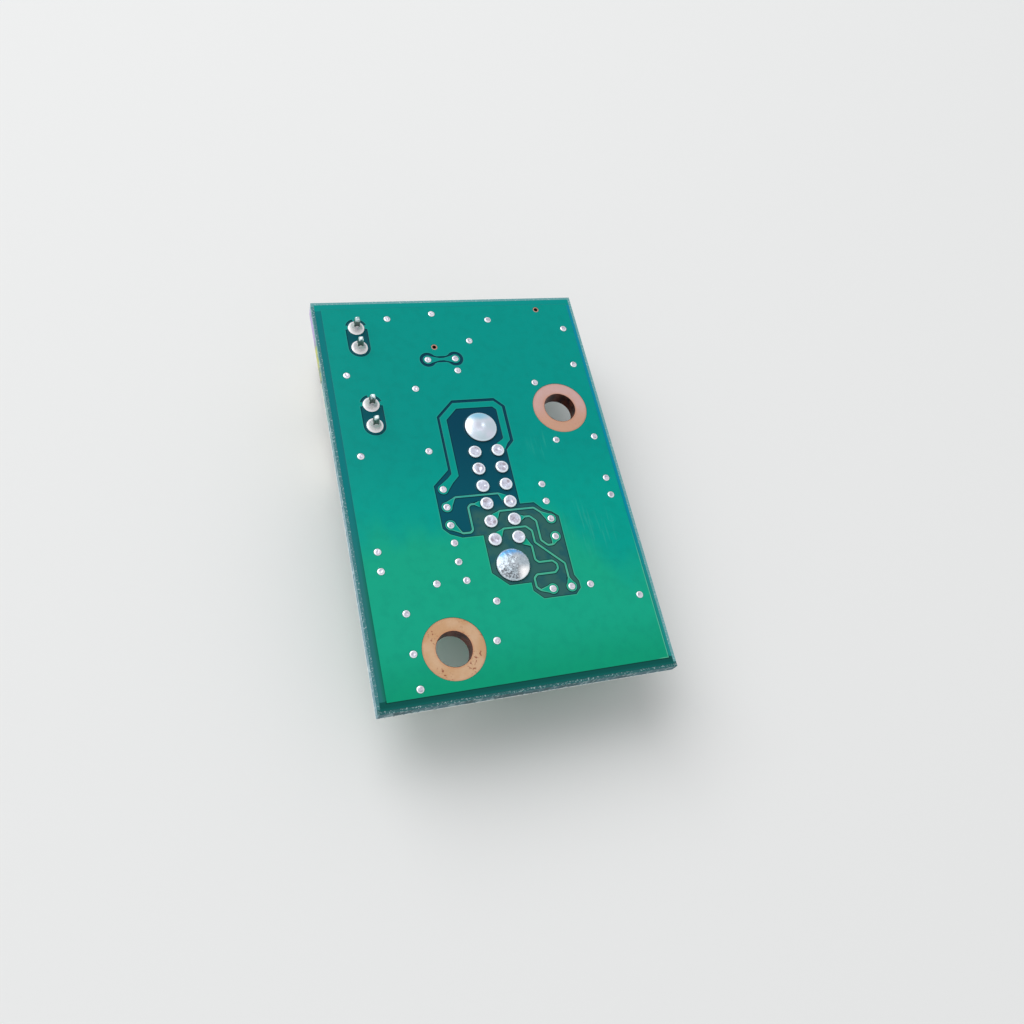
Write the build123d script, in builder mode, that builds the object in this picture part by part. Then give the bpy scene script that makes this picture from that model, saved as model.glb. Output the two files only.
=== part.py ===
from build123d import *
import os

os.makedirs("parts", exist_ok=True)

# A small passive relay board: it carries the signals of a two-row connector to two 2-way headers
# and to a flat edge connector. It lies solder side up, standing on the mouth of the two-row connector.
# All sizes are in millimetres, X runs across the board, Y along it, Z up out of the solder side.

# Board: glass-epoxy laminate with copper foil and solder mask on both faces
board_width = 30.0
board_length = 45.0
laminate_thickness = 1.53
copper_thickness = 0.035
mask_thickness = 0.025
mask_setback = 0.3
ground_setback = 1.0
ground_setback_right = 0.7

# Mounting holes: plated, each in a ring of bare copper
mounting_bore_radius = 1.75
mounting_ring_radius = 3.1
plating_thickness = 0.035
upper_hole_from_right = 4.9
upper_hole_from_top = 14.8
lower_hole_from_left = 8.05
lower_hole_from_bottom = 5.0

# Two-row connector, soldered from above, with a metal post at each end
connector_x = 0.59
connector_y = -2.02
connector_height = 8.0
connector_width = 8.4
connector_end_margin = 2.3
connector_floor = 2.0
connector_wall = 1.0
socket_end_wall = 0.6
key_slot_width = 2.6
key_slot_depth = 3.5
housing_chamfer = 0.25
housing_corner = 0.5
pin_point_share = 0.2
contact_rows = 6
contact_pitch = 2.0
column_pitch = 2.5
contact_width = 0.5
contact_recess = 2.0
contact_tail_rise = 0.1
contact_hole_radius = 0.45
contact_pad_radius = 0.72
contact_dome_height = 0.3
post_pitch = 15.8
post_body_radius = 1.5
post_shank_radius = 1.0
post_recess = 0.4
post_point = 0.2
post_tail_rise = 0.3
post_hole_radius = 1.2
post_pad_radius = 1.78
post_dome_height = 0.62
post_dimple_radius = 0.35
post_dimple_depth = 0.12

# Two 2-way headers, shrouded, with long square pins
header_pitch = 2.5
header_from_left_upper = 4.4
header_from_left_lower = 4.5
header_from_top_upper = 4.7
header_from_top_lower = 14.3
header_height = 7.0
header_length = 7.4
header_width = 5.75
header_pin_offset = 0.5
header_wall = 0.8
header_floor = 1.6
header_slot_width = 0.9
header_slot_depth = 4.0
header_pin_width = 0.64
header_pin_recess = 1.0
header_pin_rise = 1.8
header_hole_radius = 0.5
header_pad_radius = 0.9
header_cone_height = 0.95
header_cone_top_radius = 0.42
header_cone_waist_radius = 0.62
header_cone_waist_height = 0.43
header_clearance_radius = 1.2
spoke_width = 0.45
spoke_rise = 0.1

# Vias: solder-filled ones tie the ground planes or carry a signal through, open ones are for test probes
via_hole_radius = 0.2
via_ring_radius = 0.28
via_cap_radius = 0.38
via_cap_height = 0.1
signal_pad_radius = 0.52
left_via_from_center = 5.41
left_via_rise = 0.06
right_via_from_center = 5.21
right_via_drop = 0.32
lower_via_drop = 10.86
lower_via_shifts = (3.56, 5.57)
link_via_from_top = 7.86
link_via_x = (-3.5, -0.44)
test_via_radius = 0.22
test_via_opening_radius = 0.36
upper_test_via_from_right = 4.57
upper_test_via_from_top = 1.65
lower_test_via_x = -2.49
lower_test_via_from_top = 6.25

# Tracks
signal_width = 0.13
power_width = 0.64
power_width_below = 0.36
link_width = 0.25
track_bend_radius = 0.3
teardrop_length = 0.75
taper_start_share = 0.96
pour_clearance = 0.25
link_clearance_radius = 0.93
link_waist_radius = 0.42
smallest_island = 3.0

# Flat edge connector on the component side
edge_connector_clearance = 1.1
edge_connector_ways = 12
edge_connector_pitch = 1.25
edge_connector_margin = 2.2
edge_connector_depth = 4.2
edge_connector_height = 3.6
edge_connector_from_top = 0.5
edge_connector_wall = 0.7
edge_socket_depth = 3.0
edge_socket_shoulder = 0.5
edge_corner_cut = 0.3
edge_pin_recess = 0.8
edge_contact_width = 0.32
edge_contact_thickness = 0.2
edge_foot_length = 0.9
edge_pad_width = 0.5
edge_pad_length = 1.5
tab_thickness = 0.25
tab_length = 2.4
tab_foot = 0.7

# Inspection paint on the left edge of the laminate
paint_thickness = 0.06
paint_height = 0.85
pink_paint_length = 4.7
yellow_paint_length = 4.2
paint_from_top = 0.3

# Heights of the layers, worked up from the mouth of the two-row connector at zero
under_mask_z = connector_height
under_copper_z = under_mask_z + mask_thickness
laminate_z = under_copper_z + copper_thickness
laminate_top_z = laminate_z + laminate_thickness
copper_top_z = laminate_top_z + copper_thickness
board_hole_depth = copper_top_z - under_copper_z

# Edges and places on the board
left = -board_width / 2
right = board_width / 2
top = board_length / 2
bottom = -board_length / 2
upper_hole = (right - upper_hole_from_right, top - upper_hole_from_top)
lower_hole = (left + lower_hole_from_left, bottom + lower_hole_from_bottom)
mounting_holes = [upper_hole, lower_hole]
header_places = [
    (left + header_from_left_upper, top - header_from_top_upper),
    (left + header_from_left_lower, top - header_from_top_lower),
]
posts = [
    (connector_x, connector_y + post_pitch / 2),
    (connector_x, connector_y - post_pitch / 2),
]


def contact(column, row):
    """Place of one contact: column 0 is the left one, row 0 the uppermost."""
    x = connector_x + (column - 0.5) * column_pitch
    y = connector_y + ((contact_rows - 1) / 2 - row) * contact_pitch
    return (x, y)


contacts = [contact(column, row) for column in (0, 1) for row in range(contact_rows)]


def header_pin(header, pin):
    """Place of one header pin: pin 0 is the grounded upper one, pin 1 the signal."""
    x, y = header_places[header]
    return (x, y + (0.5 - pin) * header_pitch)


header_pins = [header_pin(header, pin) for header in (0, 1) for pin in (0, 1)]

# Vias that carry a signal to the component side, beside the connector and below it
left_vias = [(connector_x - left_via_from_center, contact(0, row)[1] + left_via_rise) for row in (2, 3, 4)]
right_vias = [(connector_x + right_via_from_center, contact(1, row)[1] - right_via_drop) for row in (4, 5)]
lower_vias = [(connector_x + shift, connector_y - lower_via_drop) for shift in lower_via_shifts]
link_vias = [(x, top - link_via_from_top) for x in link_via_x]
signal_vias = left_vias + right_vias + lower_vias + link_vias
test_vias = [
    (lower_test_via_x, top - lower_test_via_from_top),
    (right - upper_test_via_from_right, top - upper_test_via_from_top),
]

# Vias that stitch the two ground planes together
stitching_vias = (
    [(right - 1.84, y) for y in (18.08, 13.18, 3.8, -1.29, -3.31, -14.7)]
    + [(left + 2.5, y) for y in (13.12, 3.5, -6.97, -9.0)]
    + [(-7.07, top - 2.38), (-2.0, top - 1.86), (4.34, top - 2.88), (1.62, top - 5.61)]
    + [(-0.46, 13.1), (-5.5, 11.07), (7.96, 11.06), (-5.47, 3.51), (8.67, 3.74)]
    + [(5.77, -1.35), (5.77, -3.33), (-4.82, -6.89), (-4.8, -8.91), (-7.38, -10.91)]
    + [(-4.39, -10.93), (-1.87, -13.4), (8.19, -12.9)]
    + [(lower_hole[0] - 3.89, lower_hole[1] + 4.01), (lower_hole[0] - 3.91, lower_hole[1] + 0.05)]
    + [(lower_hole[0] + 4.25, lower_hole[1] + 0.19), (lower_hole[0] - 3.86, bottom + 1.7)]
)

# Outline of the window in the solder-side ground plane, clockwise from its upper left corner
window_outline = [
    (-1.95, 9.42),
    (2.8, 9.42),
    (3.87, 8.35),
    (3.87, 4.0),
    (2.9, 3.0),
    (2.9, -3.3),
    (4.4, -3.3),
    (5.2, -4.15),
    (6.1, -4.55),
    (6.75, -5.1),
    (6.75, -11.7),
    (7.1, -12.4),
    (7.1, -13.15),
    (6.45, -13.8),
    (3.0, -13.8),
    (2.05, -12.85),
    (2.05, -12.0),
    (-0.2, -12.0),
    (-1.75, -10.5),
    (-1.75, -6.45),
    (-3.9, -6.45),
    (-5.1, -5.95),
    (-5.75, -5.25),
    (-5.75, -0.5),
    (-3.92, 1.2),
    (-3.92, 7.5),
]

# Place of the edge connector: its left tab keeps clear of the upper header
edge_length = (edge_connector_ways - 1) * edge_connector_pitch + 2 * edge_connector_margin
header_right_side = header_places[0][0] - header_pin_offset + header_width / 2
edge_left_side = header_right_side + edge_connector_clearance + tab_foot + tab_thickness
edge_connector_x = edge_left_side + edge_length / 2
edge_front_y = top - edge_connector_from_top
edge_rear_y = edge_front_y - edge_connector_depth
edge_pad_y = edge_rear_y - edge_foot_length / 2

# Tracks on the solder side, each from a contact of the connector to a via
power_route = [contact(1, 0), (3.15, 4.3), (3.15, 8.1), (2.55, 8.7), (-1.75, 8.7), (-3.27, 7.2)]
power_route = power_route + [(-3.27, 0.55), left_vias[0]]
signal_routes = [
    [contact(1, 3), (0.83, -1.95), (-3.8, -1.95), left_vias[1]],
    [contact(0, 3), (-1.95, -2.9), (-2.35, -2.9), (-2.65, -3.2), (-2.65, -5.7), (-2.92, -5.97)]
    + [(-3.75, -5.97), left_vias[2]],
    [contact(0, 4), (0.5, -3.93), (4.2, -3.93), right_vias[0]],
    [contact(1, 4), (3.0, -4.83), (3.55, -4.83), (4.15, -5.43), (4.15, -7.6), (4.75, -8.2), (5.35, -8.2)]
    + [right_vias[1]],
    [contact(0, 5), (0.5, -5.91), (2.9, -5.91), (3.45, -6.46), (3.45, -7.75), (6.07, -10.37)]
    + [(6.07, -11.9), lower_vias[1]],
    [contact(1, 5), (3.04, -8.1), (3.04, -9.6), (3.36, -9.92), (4.8, -9.92), (5.2, -10.32), (5.2, -10.82)]
    + [(4.82, -11.2), (2.85, -11.2), (2.5, -11.55), (2.5, -12.5), (2.88, -12.88), lower_vias[0]],
]


def edge_pad(way):
    """Place of one solder pad of the edge connector, counted from the left."""
    x = edge_connector_x + (way - (edge_connector_ways - 1) / 2) * edge_connector_pitch
    return (x, edge_pad_y)


def rising_route(start, lane, knee_y, shift_x, shift_y, way):
    """A track from its start sideways to a lane, up the lane, across to a second lane and up to a pad."""
    pad_x, pad_y = edge_pad(way)
    points = [start]
    if start[0] != lane:
        points.append((lane, start[1] + abs(lane - start[0])))
    points.append((lane, knee_y))
    points.append((shift_x, knee_y + abs(shift_x - lane)))
    points.append((shift_x, shift_y))
    points.append((pad_x, shift_y + abs(pad_x - shift_x)))
    points.append((pad_x, pad_y))
    return points


# Tracks on the component side, from contacts and vias to the headers and the edge connector
component_routes = [
    rising_route(contact(0, 2), -2.65, 9.0, -2.25, 15.2, 2),
    rising_route(contact(0, 1), -2.25, 8.6, -1.8, 14.9, 3),
    [link_vias[1], (edge_pad(4)[0], link_vias[1][1] + edge_pad(4)[0] - link_vias[1][0]), edge_pad(4)],
    rising_route(contact(0, 0), -1.85, 8.2, 0.9, 14.2, 5),
    rising_route(contact(1, 1), 3.25, 8.2, 2.6, 14.2, 6),
    rising_route(contact(1, 2), 3.65, 8.4, 3.1, 13.9, 7),
    rising_route(lower_vias[0], 4.75, 7.6, 4.1, 13.6, 8),
    rising_route(right_vias[0], 6.4, 5.0, 5.2, 13.4, 9),
    rising_route(right_vias[1], 6.75, 5.2, 5.6, 13.1, 10),
    rising_route(lower_vias[1], 7.15, 5.4, 6.0, 12.8, 11),
]
component_power_route = rising_route(left_vias[0], -3.35, 9.6, -2.7, 15.1, 0)


def header_route(start, lane, end):
    """A track from a via sideways to a lane, up the lane and across to a header's signal pin."""
    return [
        start,
        (lane, start[1] + abs(lane - start[0])),
        (lane, end[1] - abs(end[0] - lane)),
        end,
    ]


header_routes = [
    header_route(left_vias[1], -6.4, header_pin(0, 1)),
    header_route(left_vias[2], -6.9, header_pin(1, 1)),
]

# The upper header's signal also goes on, by the link, to a way of the edge connector
branch_x, branch_y = header_routes[0][2]
branch_route = [link_vias[0], (branch_x + link_vias[0][1] - branch_y, link_vias[0][1]), (branch_x, branch_y)]
edge_ground_ways = [1]
edge_signal_ways = [way for way in range(edge_connector_ways) if way not in edge_ground_ways]


# Flat copper shapes; grow widens each one all round, for the mask that covers it or for a clearance


def teardrop(center, neighbour, pad_radius, width, grow):
    """The taper between a round pad and its track, along the first stretch of the track."""
    first_stretch = Vector(*neighbour) - Vector(*center)
    along = first_stretch.normalized()
    across = Vector(-along.Y, along.X)
    tip = Vector(*center) + along * min(pad_radius + teardrop_length, first_stretch.length)
    wide = across * (pad_radius + grow) * taper_start_share
    narrow = across * (width / 2 + grow)
    with BuildSketch() as taper:
        with BuildLine():
            Polyline(Vector(*center) + wide, tip + narrow, tip - narrow, Vector(*center) - wide, close=True)
        make_face()
    return taper.sketch


def track(route, width, start_radius, end_radius, grow=0.0, bend=0.0):
    """One net: a track of even width, a round pad at each end and the tapers into them."""
    with BuildSketch() as copper:
        with BuildLine():
            if bend > 0:
                FilletPolyline(*route, radius=bend)
            else:
                Polyline(*route)
        trace(line_width=width + 2 * grow)
        for center, neighbour, radius in (
            (route[0], route[1], start_radius),
            (route[-1], route[-2], end_radius),
        ):
            if radius > 0:
                with Locations(center):
                    Circle(radius + grow)
                add(teardrop(center, neighbour, radius, width, grow))
    return copper.sketch


def ground_outline(grow=0.0):
    """The rectangle of a ground plane, set back from the board's edges."""
    width = board_width - ground_setback - ground_setback_right
    length = board_length - 2 * ground_setback
    with BuildSketch() as outline:
        with Locations(((ground_setback - ground_setback_right) / 2, 0)):
            Rectangle(width + 2 * grow, length + 2 * grow)
    return outline.sketch


def header_clearance(header, grow=0.0):
    """The opening round a header's two pins, crossed by three spokes to the grounded pin."""
    ground_x, ground_y = header_pin(header, 0)
    radius = header_clearance_radius - grow
    with BuildSketch() as opening:
        with Locations(header_places[header]):
            SlotCenterToCenter(header_pitch, 2 * radius, rotation=90)
        spoke = spoke_width + 2 * grow
        with Locations((ground_x, ground_y + spoke_rise)):
            Rectangle(3 * header_clearance_radius, spoke, mode=Mode.SUBTRACT)
        with Locations((ground_x, ground_y)):
            upwards = (Align.CENTER, Align.MIN)
            Rectangle(spoke, 2 * header_clearance_radius, align=upwards, mode=Mode.SUBTRACT)
            Circle(header_pad_radius + grow, mode=Mode.SUBTRACT)
    return opening.sketch


def link_clearance(grow=0.0):
    """The waisted opening round the two link vias."""
    (left_x, link_y), (right_x, _) = link_vias
    reach = (right_x - left_x) / 3
    wide = (link_clearance_radius - grow) * taper_start_share
    narrow = link_waist_radius - grow
    with BuildSketch() as opening:
        with Locations(*link_vias):
            Circle(link_clearance_radius - grow)
        with BuildLine():
            Polyline(
                (left_x, link_y + wide),
                (left_x + reach, link_y + narrow),
                (right_x - reach, link_y + narrow),
                (right_x, link_y + wide),
                (right_x, link_y - wide),
                (right_x - reach, link_y - narrow),
                (left_x + reach, link_y - narrow),
                (left_x, link_y - wide),
                close=True,
            )
        make_face()
    return opening.sketch


def solder_side_plane(grow=0.0):
    """The ground plane of the solder side, with its window and clearances."""
    with BuildSketch() as window:
        with BuildLine():
            Polyline(*window_outline, close=True)
        make_face()
        if grow > 0:
            offset(amount=-grow, kind=Kind.INTERSECTION)
    with BuildSketch() as plane:
        add(ground_outline(grow))
        add(window.sketch, mode=Mode.SUBTRACT)
        for header in (0, 1):
            add(header_clearance(header, grow), mode=Mode.SUBTRACT)
        add(link_clearance(grow), mode=Mode.SUBTRACT)
    return plane.sketch


def solder_side_tracks(grow=0.0):
    """Every track and loose pad of the solder side, as a list of separate shapes."""
    shapes = [track(power_route, power_width, contact_pad_radius, signal_pad_radius, grow)]
    for route in signal_routes:
        shapes.append(
            track(route, signal_width, contact_pad_radius, signal_pad_radius, grow, track_bend_radius)
        )
    shapes.append(track(link_vias, link_width, signal_pad_radius, signal_pad_radius, grow))
    return shapes


loose_contacts = [contact(0, 0), contact(0, 1), contact(0, 2), contact(1, 1), contact(1, 2)]


def solder_side_pads(grow=0.0):
    """The round pads of the solder side that no track leaves."""
    with BuildSketch() as pads:
        with Locations(*loose_contacts):
            Circle(contact_pad_radius + grow)
        with Locations(*posts):
            Circle(post_pad_radius + grow)
        with Locations(header_pin(0, 1), header_pin(1, 1)):
            Circle(header_pad_radius + grow)
    return pads.sketch


def component_side_tracks(grow=0.0):
    """Every track and loose pad of the component side, as one flat shape."""
    with BuildSketch() as copper:
        add(track(component_power_route, power_width_below, signal_pad_radius, 0, grow))
        for route in component_routes:
            add(track(route, signal_width, signal_pad_radius, 0, grow))
        for route in header_routes:
            add(track(route, signal_width, signal_pad_radius, header_pad_radius, grow))
        add(track(branch_route, signal_width, signal_pad_radius, 0, grow))
        with Locations(*contacts):
            Circle(contact_pad_radius + grow)
        with Locations(*posts):
            Circle(post_pad_radius + grow)
        with Locations(*[edge_pad(way) for way in edge_signal_ways]):
            Rectangle(edge_pad_width + 2 * grow, edge_pad_length + 2 * grow)
    return copper.sketch


def component_side_plane(grow=0.0):
    """The ground plane of the component side, clear of every track and loose pad, with its via rings."""
    with BuildSketch() as plane:
        add(ground_outline(grow))
        add(component_side_tracks(pour_clearance - grow), mode=Mode.SUBTRACT)
    islands = plane.sketch.faces().filter_by(lambda face: face.area > smallest_island)
    with BuildSketch() as kept:
        add(islands)
        with Locations(*stitching_vias):
            Circle(via_ring_radius + grow)
    return kept.sketch


# Every hole drilled through the board, as one flat shape
with BuildSketch() as drilled:
    with Locations(*mounting_holes):
        Circle(mounting_bore_radius + plating_thickness)
    with Locations(*contacts):
        Circle(contact_hole_radius)
    with Locations(*posts):
        Circle(post_hole_radius)
    with Locations(*header_pins):
        Circle(header_hole_radius)
    with Locations(*stitching_vias, *signal_vias):
        Circle(via_hole_radius)
    with Locations(*test_vias):
        Circle(test_via_radius + plating_thickness)


# The glass-epoxy laminate
with BuildPart() as board_laminate:
    with BuildSketch(Plane.XY.offset(laminate_z)):
        Rectangle(board_width, board_length)
        add(drilled.sketch, mode=Mode.SUBTRACT)
    extrude(amount=laminate_thickness)
board_laminate.part.label = "board_laminate"
export_step(board_laminate.part, "parts/board_laminate.step")


def foil(shape, height, name):
    """A flat copper shape with the drilled holes, as thick as the foil, written as a part."""
    with BuildPart() as copper:
        with BuildSketch(Plane.XY.offset(height)):
            add(shape)
            add(drilled.sketch, mode=Mode.SUBTRACT)
        extrude(amount=copper_thickness)
    copper.part.label = name
    export_step(copper.part, "parts/" + name + ".step")


# Copper of both faces
upper_plane = solder_side_plane()
upper_tracks = solder_side_tracks()
upper_pads = solder_side_pads()
lower_plane = component_side_plane()
lower_tracks = component_side_tracks()
foil(upper_plane, laminate_top_z, "solder_side_ground")
foil(lower_plane, under_copper_z, "component_side_ground")
track_names = ["power_track"] + [f"signal_track_{n}" for n in range(1, 7)] + ["link_track"]
for shape, name in zip(upper_tracks, track_names):
    foil(shape, laminate_top_z, name)
foil(upper_pads, laminate_top_z, "loose_pads")
foil(lower_tracks, under_copper_z, "component_side_tracks")

# Solder mask of the upper, solder side: a thin coat that steps up over the copper
with BuildPart() as solder_side_mask:
    with BuildSketch(Plane.XY.offset(laminate_top_z)):
        Rectangle(board_width - 2 * mask_setback, board_length - 2 * mask_setback)
    extrude(amount=mask_thickness)
    with BuildSketch(Plane.XY.offset(laminate_top_z)):
        add(solder_side_plane(mask_thickness))
        for shape in solder_side_tracks(mask_thickness):
            add(shape)
        add(solder_side_pads(mask_thickness))
    extrude(amount=copper_thickness + mask_thickness)
    with BuildSketch(Plane.XY.offset(laminate_top_z)):
        add(upper_plane)
        for shape in upper_tracks:
            add(shape)
        add(upper_pads)
    extrude(amount=copper_thickness, mode=Mode.SUBTRACT)
    with BuildSketch(Plane.XY.offset(laminate_top_z)):
        with Locations(*mounting_holes):
            Circle(mounting_ring_radius)
        with Locations(*contacts):
            Circle(contact_pad_radius)
        with Locations(*posts):
            Circle(post_pad_radius)
        with Locations(*header_pins):
            Circle(header_pad_radius)
        with Locations(*stitching_vias, *signal_vias):
            Circle(via_cap_radius)
        with Locations(*test_vias):
            Circle(test_via_opening_radius)
    extrude(amount=copper_thickness + mask_thickness, mode=Mode.SUBTRACT)
solder_side_mask.part.label = "solder_side_mask"
export_step(solder_side_mask.part, "parts/solder_side_mask.step")

# Feet of the edge connector's tabs, which need openings in the lower mask
edge_middle_y = (edge_front_y + edge_rear_y) / 2
tab_places = [
    (edge_connector_x + side * (edge_length / 2 + tab_thickness + tab_foot / 2), edge_middle_y)
    for side in (-1, 1)
]

# Solder mask of the lower, component side
with BuildPart() as component_side_mask:
    with BuildSketch(Plane.XY.offset(laminate_z)):
        Rectangle(board_width - 2 * mask_setback, board_length - 2 * mask_setback)
    extrude(amount=-mask_thickness)
    with BuildSketch(Plane.XY.offset(laminate_z)):
        add(component_side_plane(mask_thickness))
        add(component_side_tracks(mask_thickness))
    extrude(amount=-copper_thickness - mask_thickness)
    with BuildSketch(Plane.XY.offset(laminate_z)):
        add(lower_plane)
        add(lower_tracks)
    extrude(amount=-copper_thickness, mode=Mode.SUBTRACT)
    with BuildSketch(Plane.XY.offset(laminate_z)):
        with Locations(*mounting_holes):
            Circle(mounting_ring_radius)
        with Locations(*contacts):
            Circle(contact_pad_radius)
        with Locations(*posts):
            Circle(post_pad_radius)
        with Locations(*header_pins):
            Circle(header_pad_radius)
        with Locations(*test_vias):
            Circle(test_via_opening_radius)
        with Locations(*[edge_pad(way) for way in range(edge_connector_ways)]):
            Rectangle(edge_pad_width, edge_pad_length)
        with Locations(*tab_places):
            Rectangle(tab_foot + 2 * tab_thickness, tab_length + 2 * tab_thickness)
    extrude(amount=-copper_thickness - mask_thickness, mode=Mode.SUBTRACT)
component_side_mask.part.label = "component_side_mask"
export_step(component_side_mask.part, "parts/component_side_mask.step")


def plated_sleeve(place, radius, name):
    """The copper wall plated into one hole, from foil face to foil face."""
    with BuildPart() as sleeve:
        with BuildSketch(Plane.XY.offset(under_copper_z)):
            with Locations(place):
                Circle(radius + plating_thickness)
                Circle(radius, mode=Mode.SUBTRACT)
        extrude(amount=board_hole_depth)
    sleeve.part.label = name
    export_step(sleeve.part, "parts/" + name + ".step")


plated_sleeve(upper_hole, mounting_bore_radius, "upper_hole_plating")
plated_sleeve(lower_hole, mounting_bore_radius, "lower_hole_plating")
plated_sleeve(test_vias[0], test_via_radius, "left_test_via")
plated_sleeve(test_vias[1], test_via_radius, "right_test_via")


def group(shape, places, name):
    """Copies of one piece at several places, written as one part of separate solids."""
    with BuildPart() as pieces:
        with Locations(*[(x, y, 0) for x, y in places]):
            add(shape)
    pieces.part.label = name
    export_step(pieces.part, "parts/" + name + ".step")


# Solder that fills a via and stands as a low cap on its upper pad
with BuildPart() as via_fill:
    with BuildSketch(Plane.XZ):
        with BuildLine():
            Polyline(
                (0, copper_top_z + via_cap_height),
                (0, under_copper_z),
                (via_hole_radius, under_copper_z),
                (via_hole_radius, copper_top_z),
                (via_cap_radius, copper_top_z),
            )
            TangentArc(
                (0, copper_top_z + via_cap_height), (via_cap_radius, copper_top_z), tangent=(1, 0)
            )
        make_face()
    revolve(axis=Axis.Z)
group(via_fill.part, stitching_vias, "stitching_via_fills")
group(via_fill.part, signal_vias, "signal_via_fills")


def solder_dome(hole_radius, pad_radius, dome_height):
    """Solder that fills a hole and stands over its pad as a dome, before the tail in it is cut out."""
    with BuildPart() as joint:
        with BuildSketch(Plane.XZ):
            with BuildLine():
                Polyline(
                    (0, copper_top_z + dome_height),
                    (0, under_copper_z),
                    (hole_radius, under_copper_z),
                    (hole_radius, copper_top_z),
                    (pad_radius, copper_top_z),
                )
                TangentArc((0, copper_top_z + dome_height), (pad_radius, copper_top_z), tangent=(1, 0))
            make_face()
        revolve(axis=Axis.Z)
    return joint.part


def tail_bar(width, low, high):
    """A square bar on the Z axis, with its four end edges pointed at both ends."""
    with BuildPart() as bar:
        with BuildSketch(Plane.XY.offset(low)):
            Rectangle(width, width)
        extrude(amount=high - low)
        chamfer(bar.faces().filter_by(Axis.Z).edges(), length=width * pin_point_share)
    return bar.part


# Contacts of the two-row connector: square pins from the socket through the housing's floor and the board
contact_pin = tail_bar(contact_width, contact_recess, copper_top_z + contact_tail_rise)
group(contact_pin, contacts, "connector_contacts")

# Solder joints of the contacts: a low dome over the end of each tail
with BuildPart() as contact_joint:
    add(solder_dome(contact_hole_radius, contact_pad_radius, contact_dome_height))
    add(contact_pin, mode=Mode.SUBTRACT)
group(contact_joint.part, contacts, "contact_solder_joints")

# Turned metal posts: a thick body pressed into the housing, a thinner shank through the board
with BuildPart() as post:
    with BuildSketch(Plane.XZ):
        with BuildLine():
            Polyline(
                (0, post_recess),
                (post_body_radius - post_point, post_recess),
                (post_body_radius, post_recess + post_point),
                (post_body_radius, under_copper_z),
                (post_shank_radius, under_copper_z),
                (post_shank_radius, copper_top_z + post_tail_rise - post_point),
                (post_shank_radius - post_point, copper_top_z + post_tail_rise),
                (0, copper_top_z + post_tail_rise),
                close=True,
            )
        make_face()
    revolve(axis=Axis.Z)
group(post.part, posts[:1], "upper_post")
group(post.part, posts[1:], "lower_post")

# Solder joints of the posts; the upper one has sunk a little at its centre as it cooled
with BuildPart() as post_joint:
    add(solder_dome(post_hole_radius, post_pad_radius, post_dome_height))
    add(post.part, mode=Mode.SUBTRACT)
with BuildPart() as dimpled_joint:
    add(post_joint.part)
    with Locations((0, 0, copper_top_z + post_dome_height - post_dimple_depth)):
        upright = (Align.CENTER, Align.CENTER, Align.MIN)
        Cone(0, post_dimple_radius, post_dimple_depth, align=upright, mode=Mode.SUBTRACT)
group(dimpled_joint.part, posts[:1], "upper_post_solder")
group(post_joint.part, posts[1:], "lower_post_solder")

# Housing of the two-row connector: a block with a deep socket, open downwards, and a post at each end
connector_length = post_pitch + 2 * connector_end_margin
socket_width = connector_width - 2 * connector_wall
socket_length = post_pitch - 2 * (post_body_radius + socket_end_wall)
with BuildPart() as connector_housing:
    with BuildSketch(Plane.XY):
        with Locations((connector_x, connector_y)):
            RectangleRounded(connector_width, connector_length, housing_corner)
    extrude(amount=connector_height)
    with BuildSketch(Plane.XY):
        with Locations((connector_x, connector_y)):
            Rectangle(socket_width, socket_length)
    extrude(amount=connector_height - connector_floor, mode=Mode.SUBTRACT)
    chamfer(connector_housing.faces().sort_by(Axis.Z)[0].edges(), length=housing_chamfer)
    with BuildSketch(Plane.XY):
        with Locations((connector_x + (connector_width - connector_wall) / 2, connector_y)):
            Rectangle(connector_wall + housing_chamfer, key_slot_width)
    extrude(amount=key_slot_depth, mode=Mode.SUBTRACT)
    with BuildSketch(Plane.XY):
        with Locations(*posts):
            Circle(post_body_radius)
    extrude(amount=connector_height, mode=Mode.SUBTRACT)
    with BuildSketch(Plane.XY.offset(connector_height)):
        with Locations(*contacts):
            Rectangle(contact_width, contact_width)
    extrude(amount=-connector_floor, mode=Mode.SUBTRACT)
connector_housing.part.label = "connector_housing"
export_step(connector_housing.part, "parts/connector_housing.step")

# Long square pins of the 2-way headers
header_pin_low = connector_height - header_height + header_pin_recess
header_pin_bar = tail_bar(header_pin_width, header_pin_low, copper_top_z + header_pin_rise)

# Solder joints of the header pins: a fillet that climbs the pin, like the bell of a trumpet
with BuildPart() as header_joint:
    with BuildSketch(Plane.XZ):
        cone_top_z = copper_top_z + header_cone_height
        with BuildLine():
            Polyline(
                (header_cone_top_radius, cone_top_z),
                (0, cone_top_z),
                (0, under_copper_z),
                (header_hole_radius, under_copper_z),
                (header_hole_radius, copper_top_z),
                (header_pad_radius, copper_top_z),
            )
            ThreePointArc(
                (header_pad_radius, copper_top_z),
                (header_cone_waist_radius, copper_top_z + header_cone_waist_height),
                (header_cone_top_radius, cone_top_z),
            )
        make_face()
    revolve(axis=Axis.Z)
    add(header_pin_bar, mode=Mode.SUBTRACT)


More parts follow.
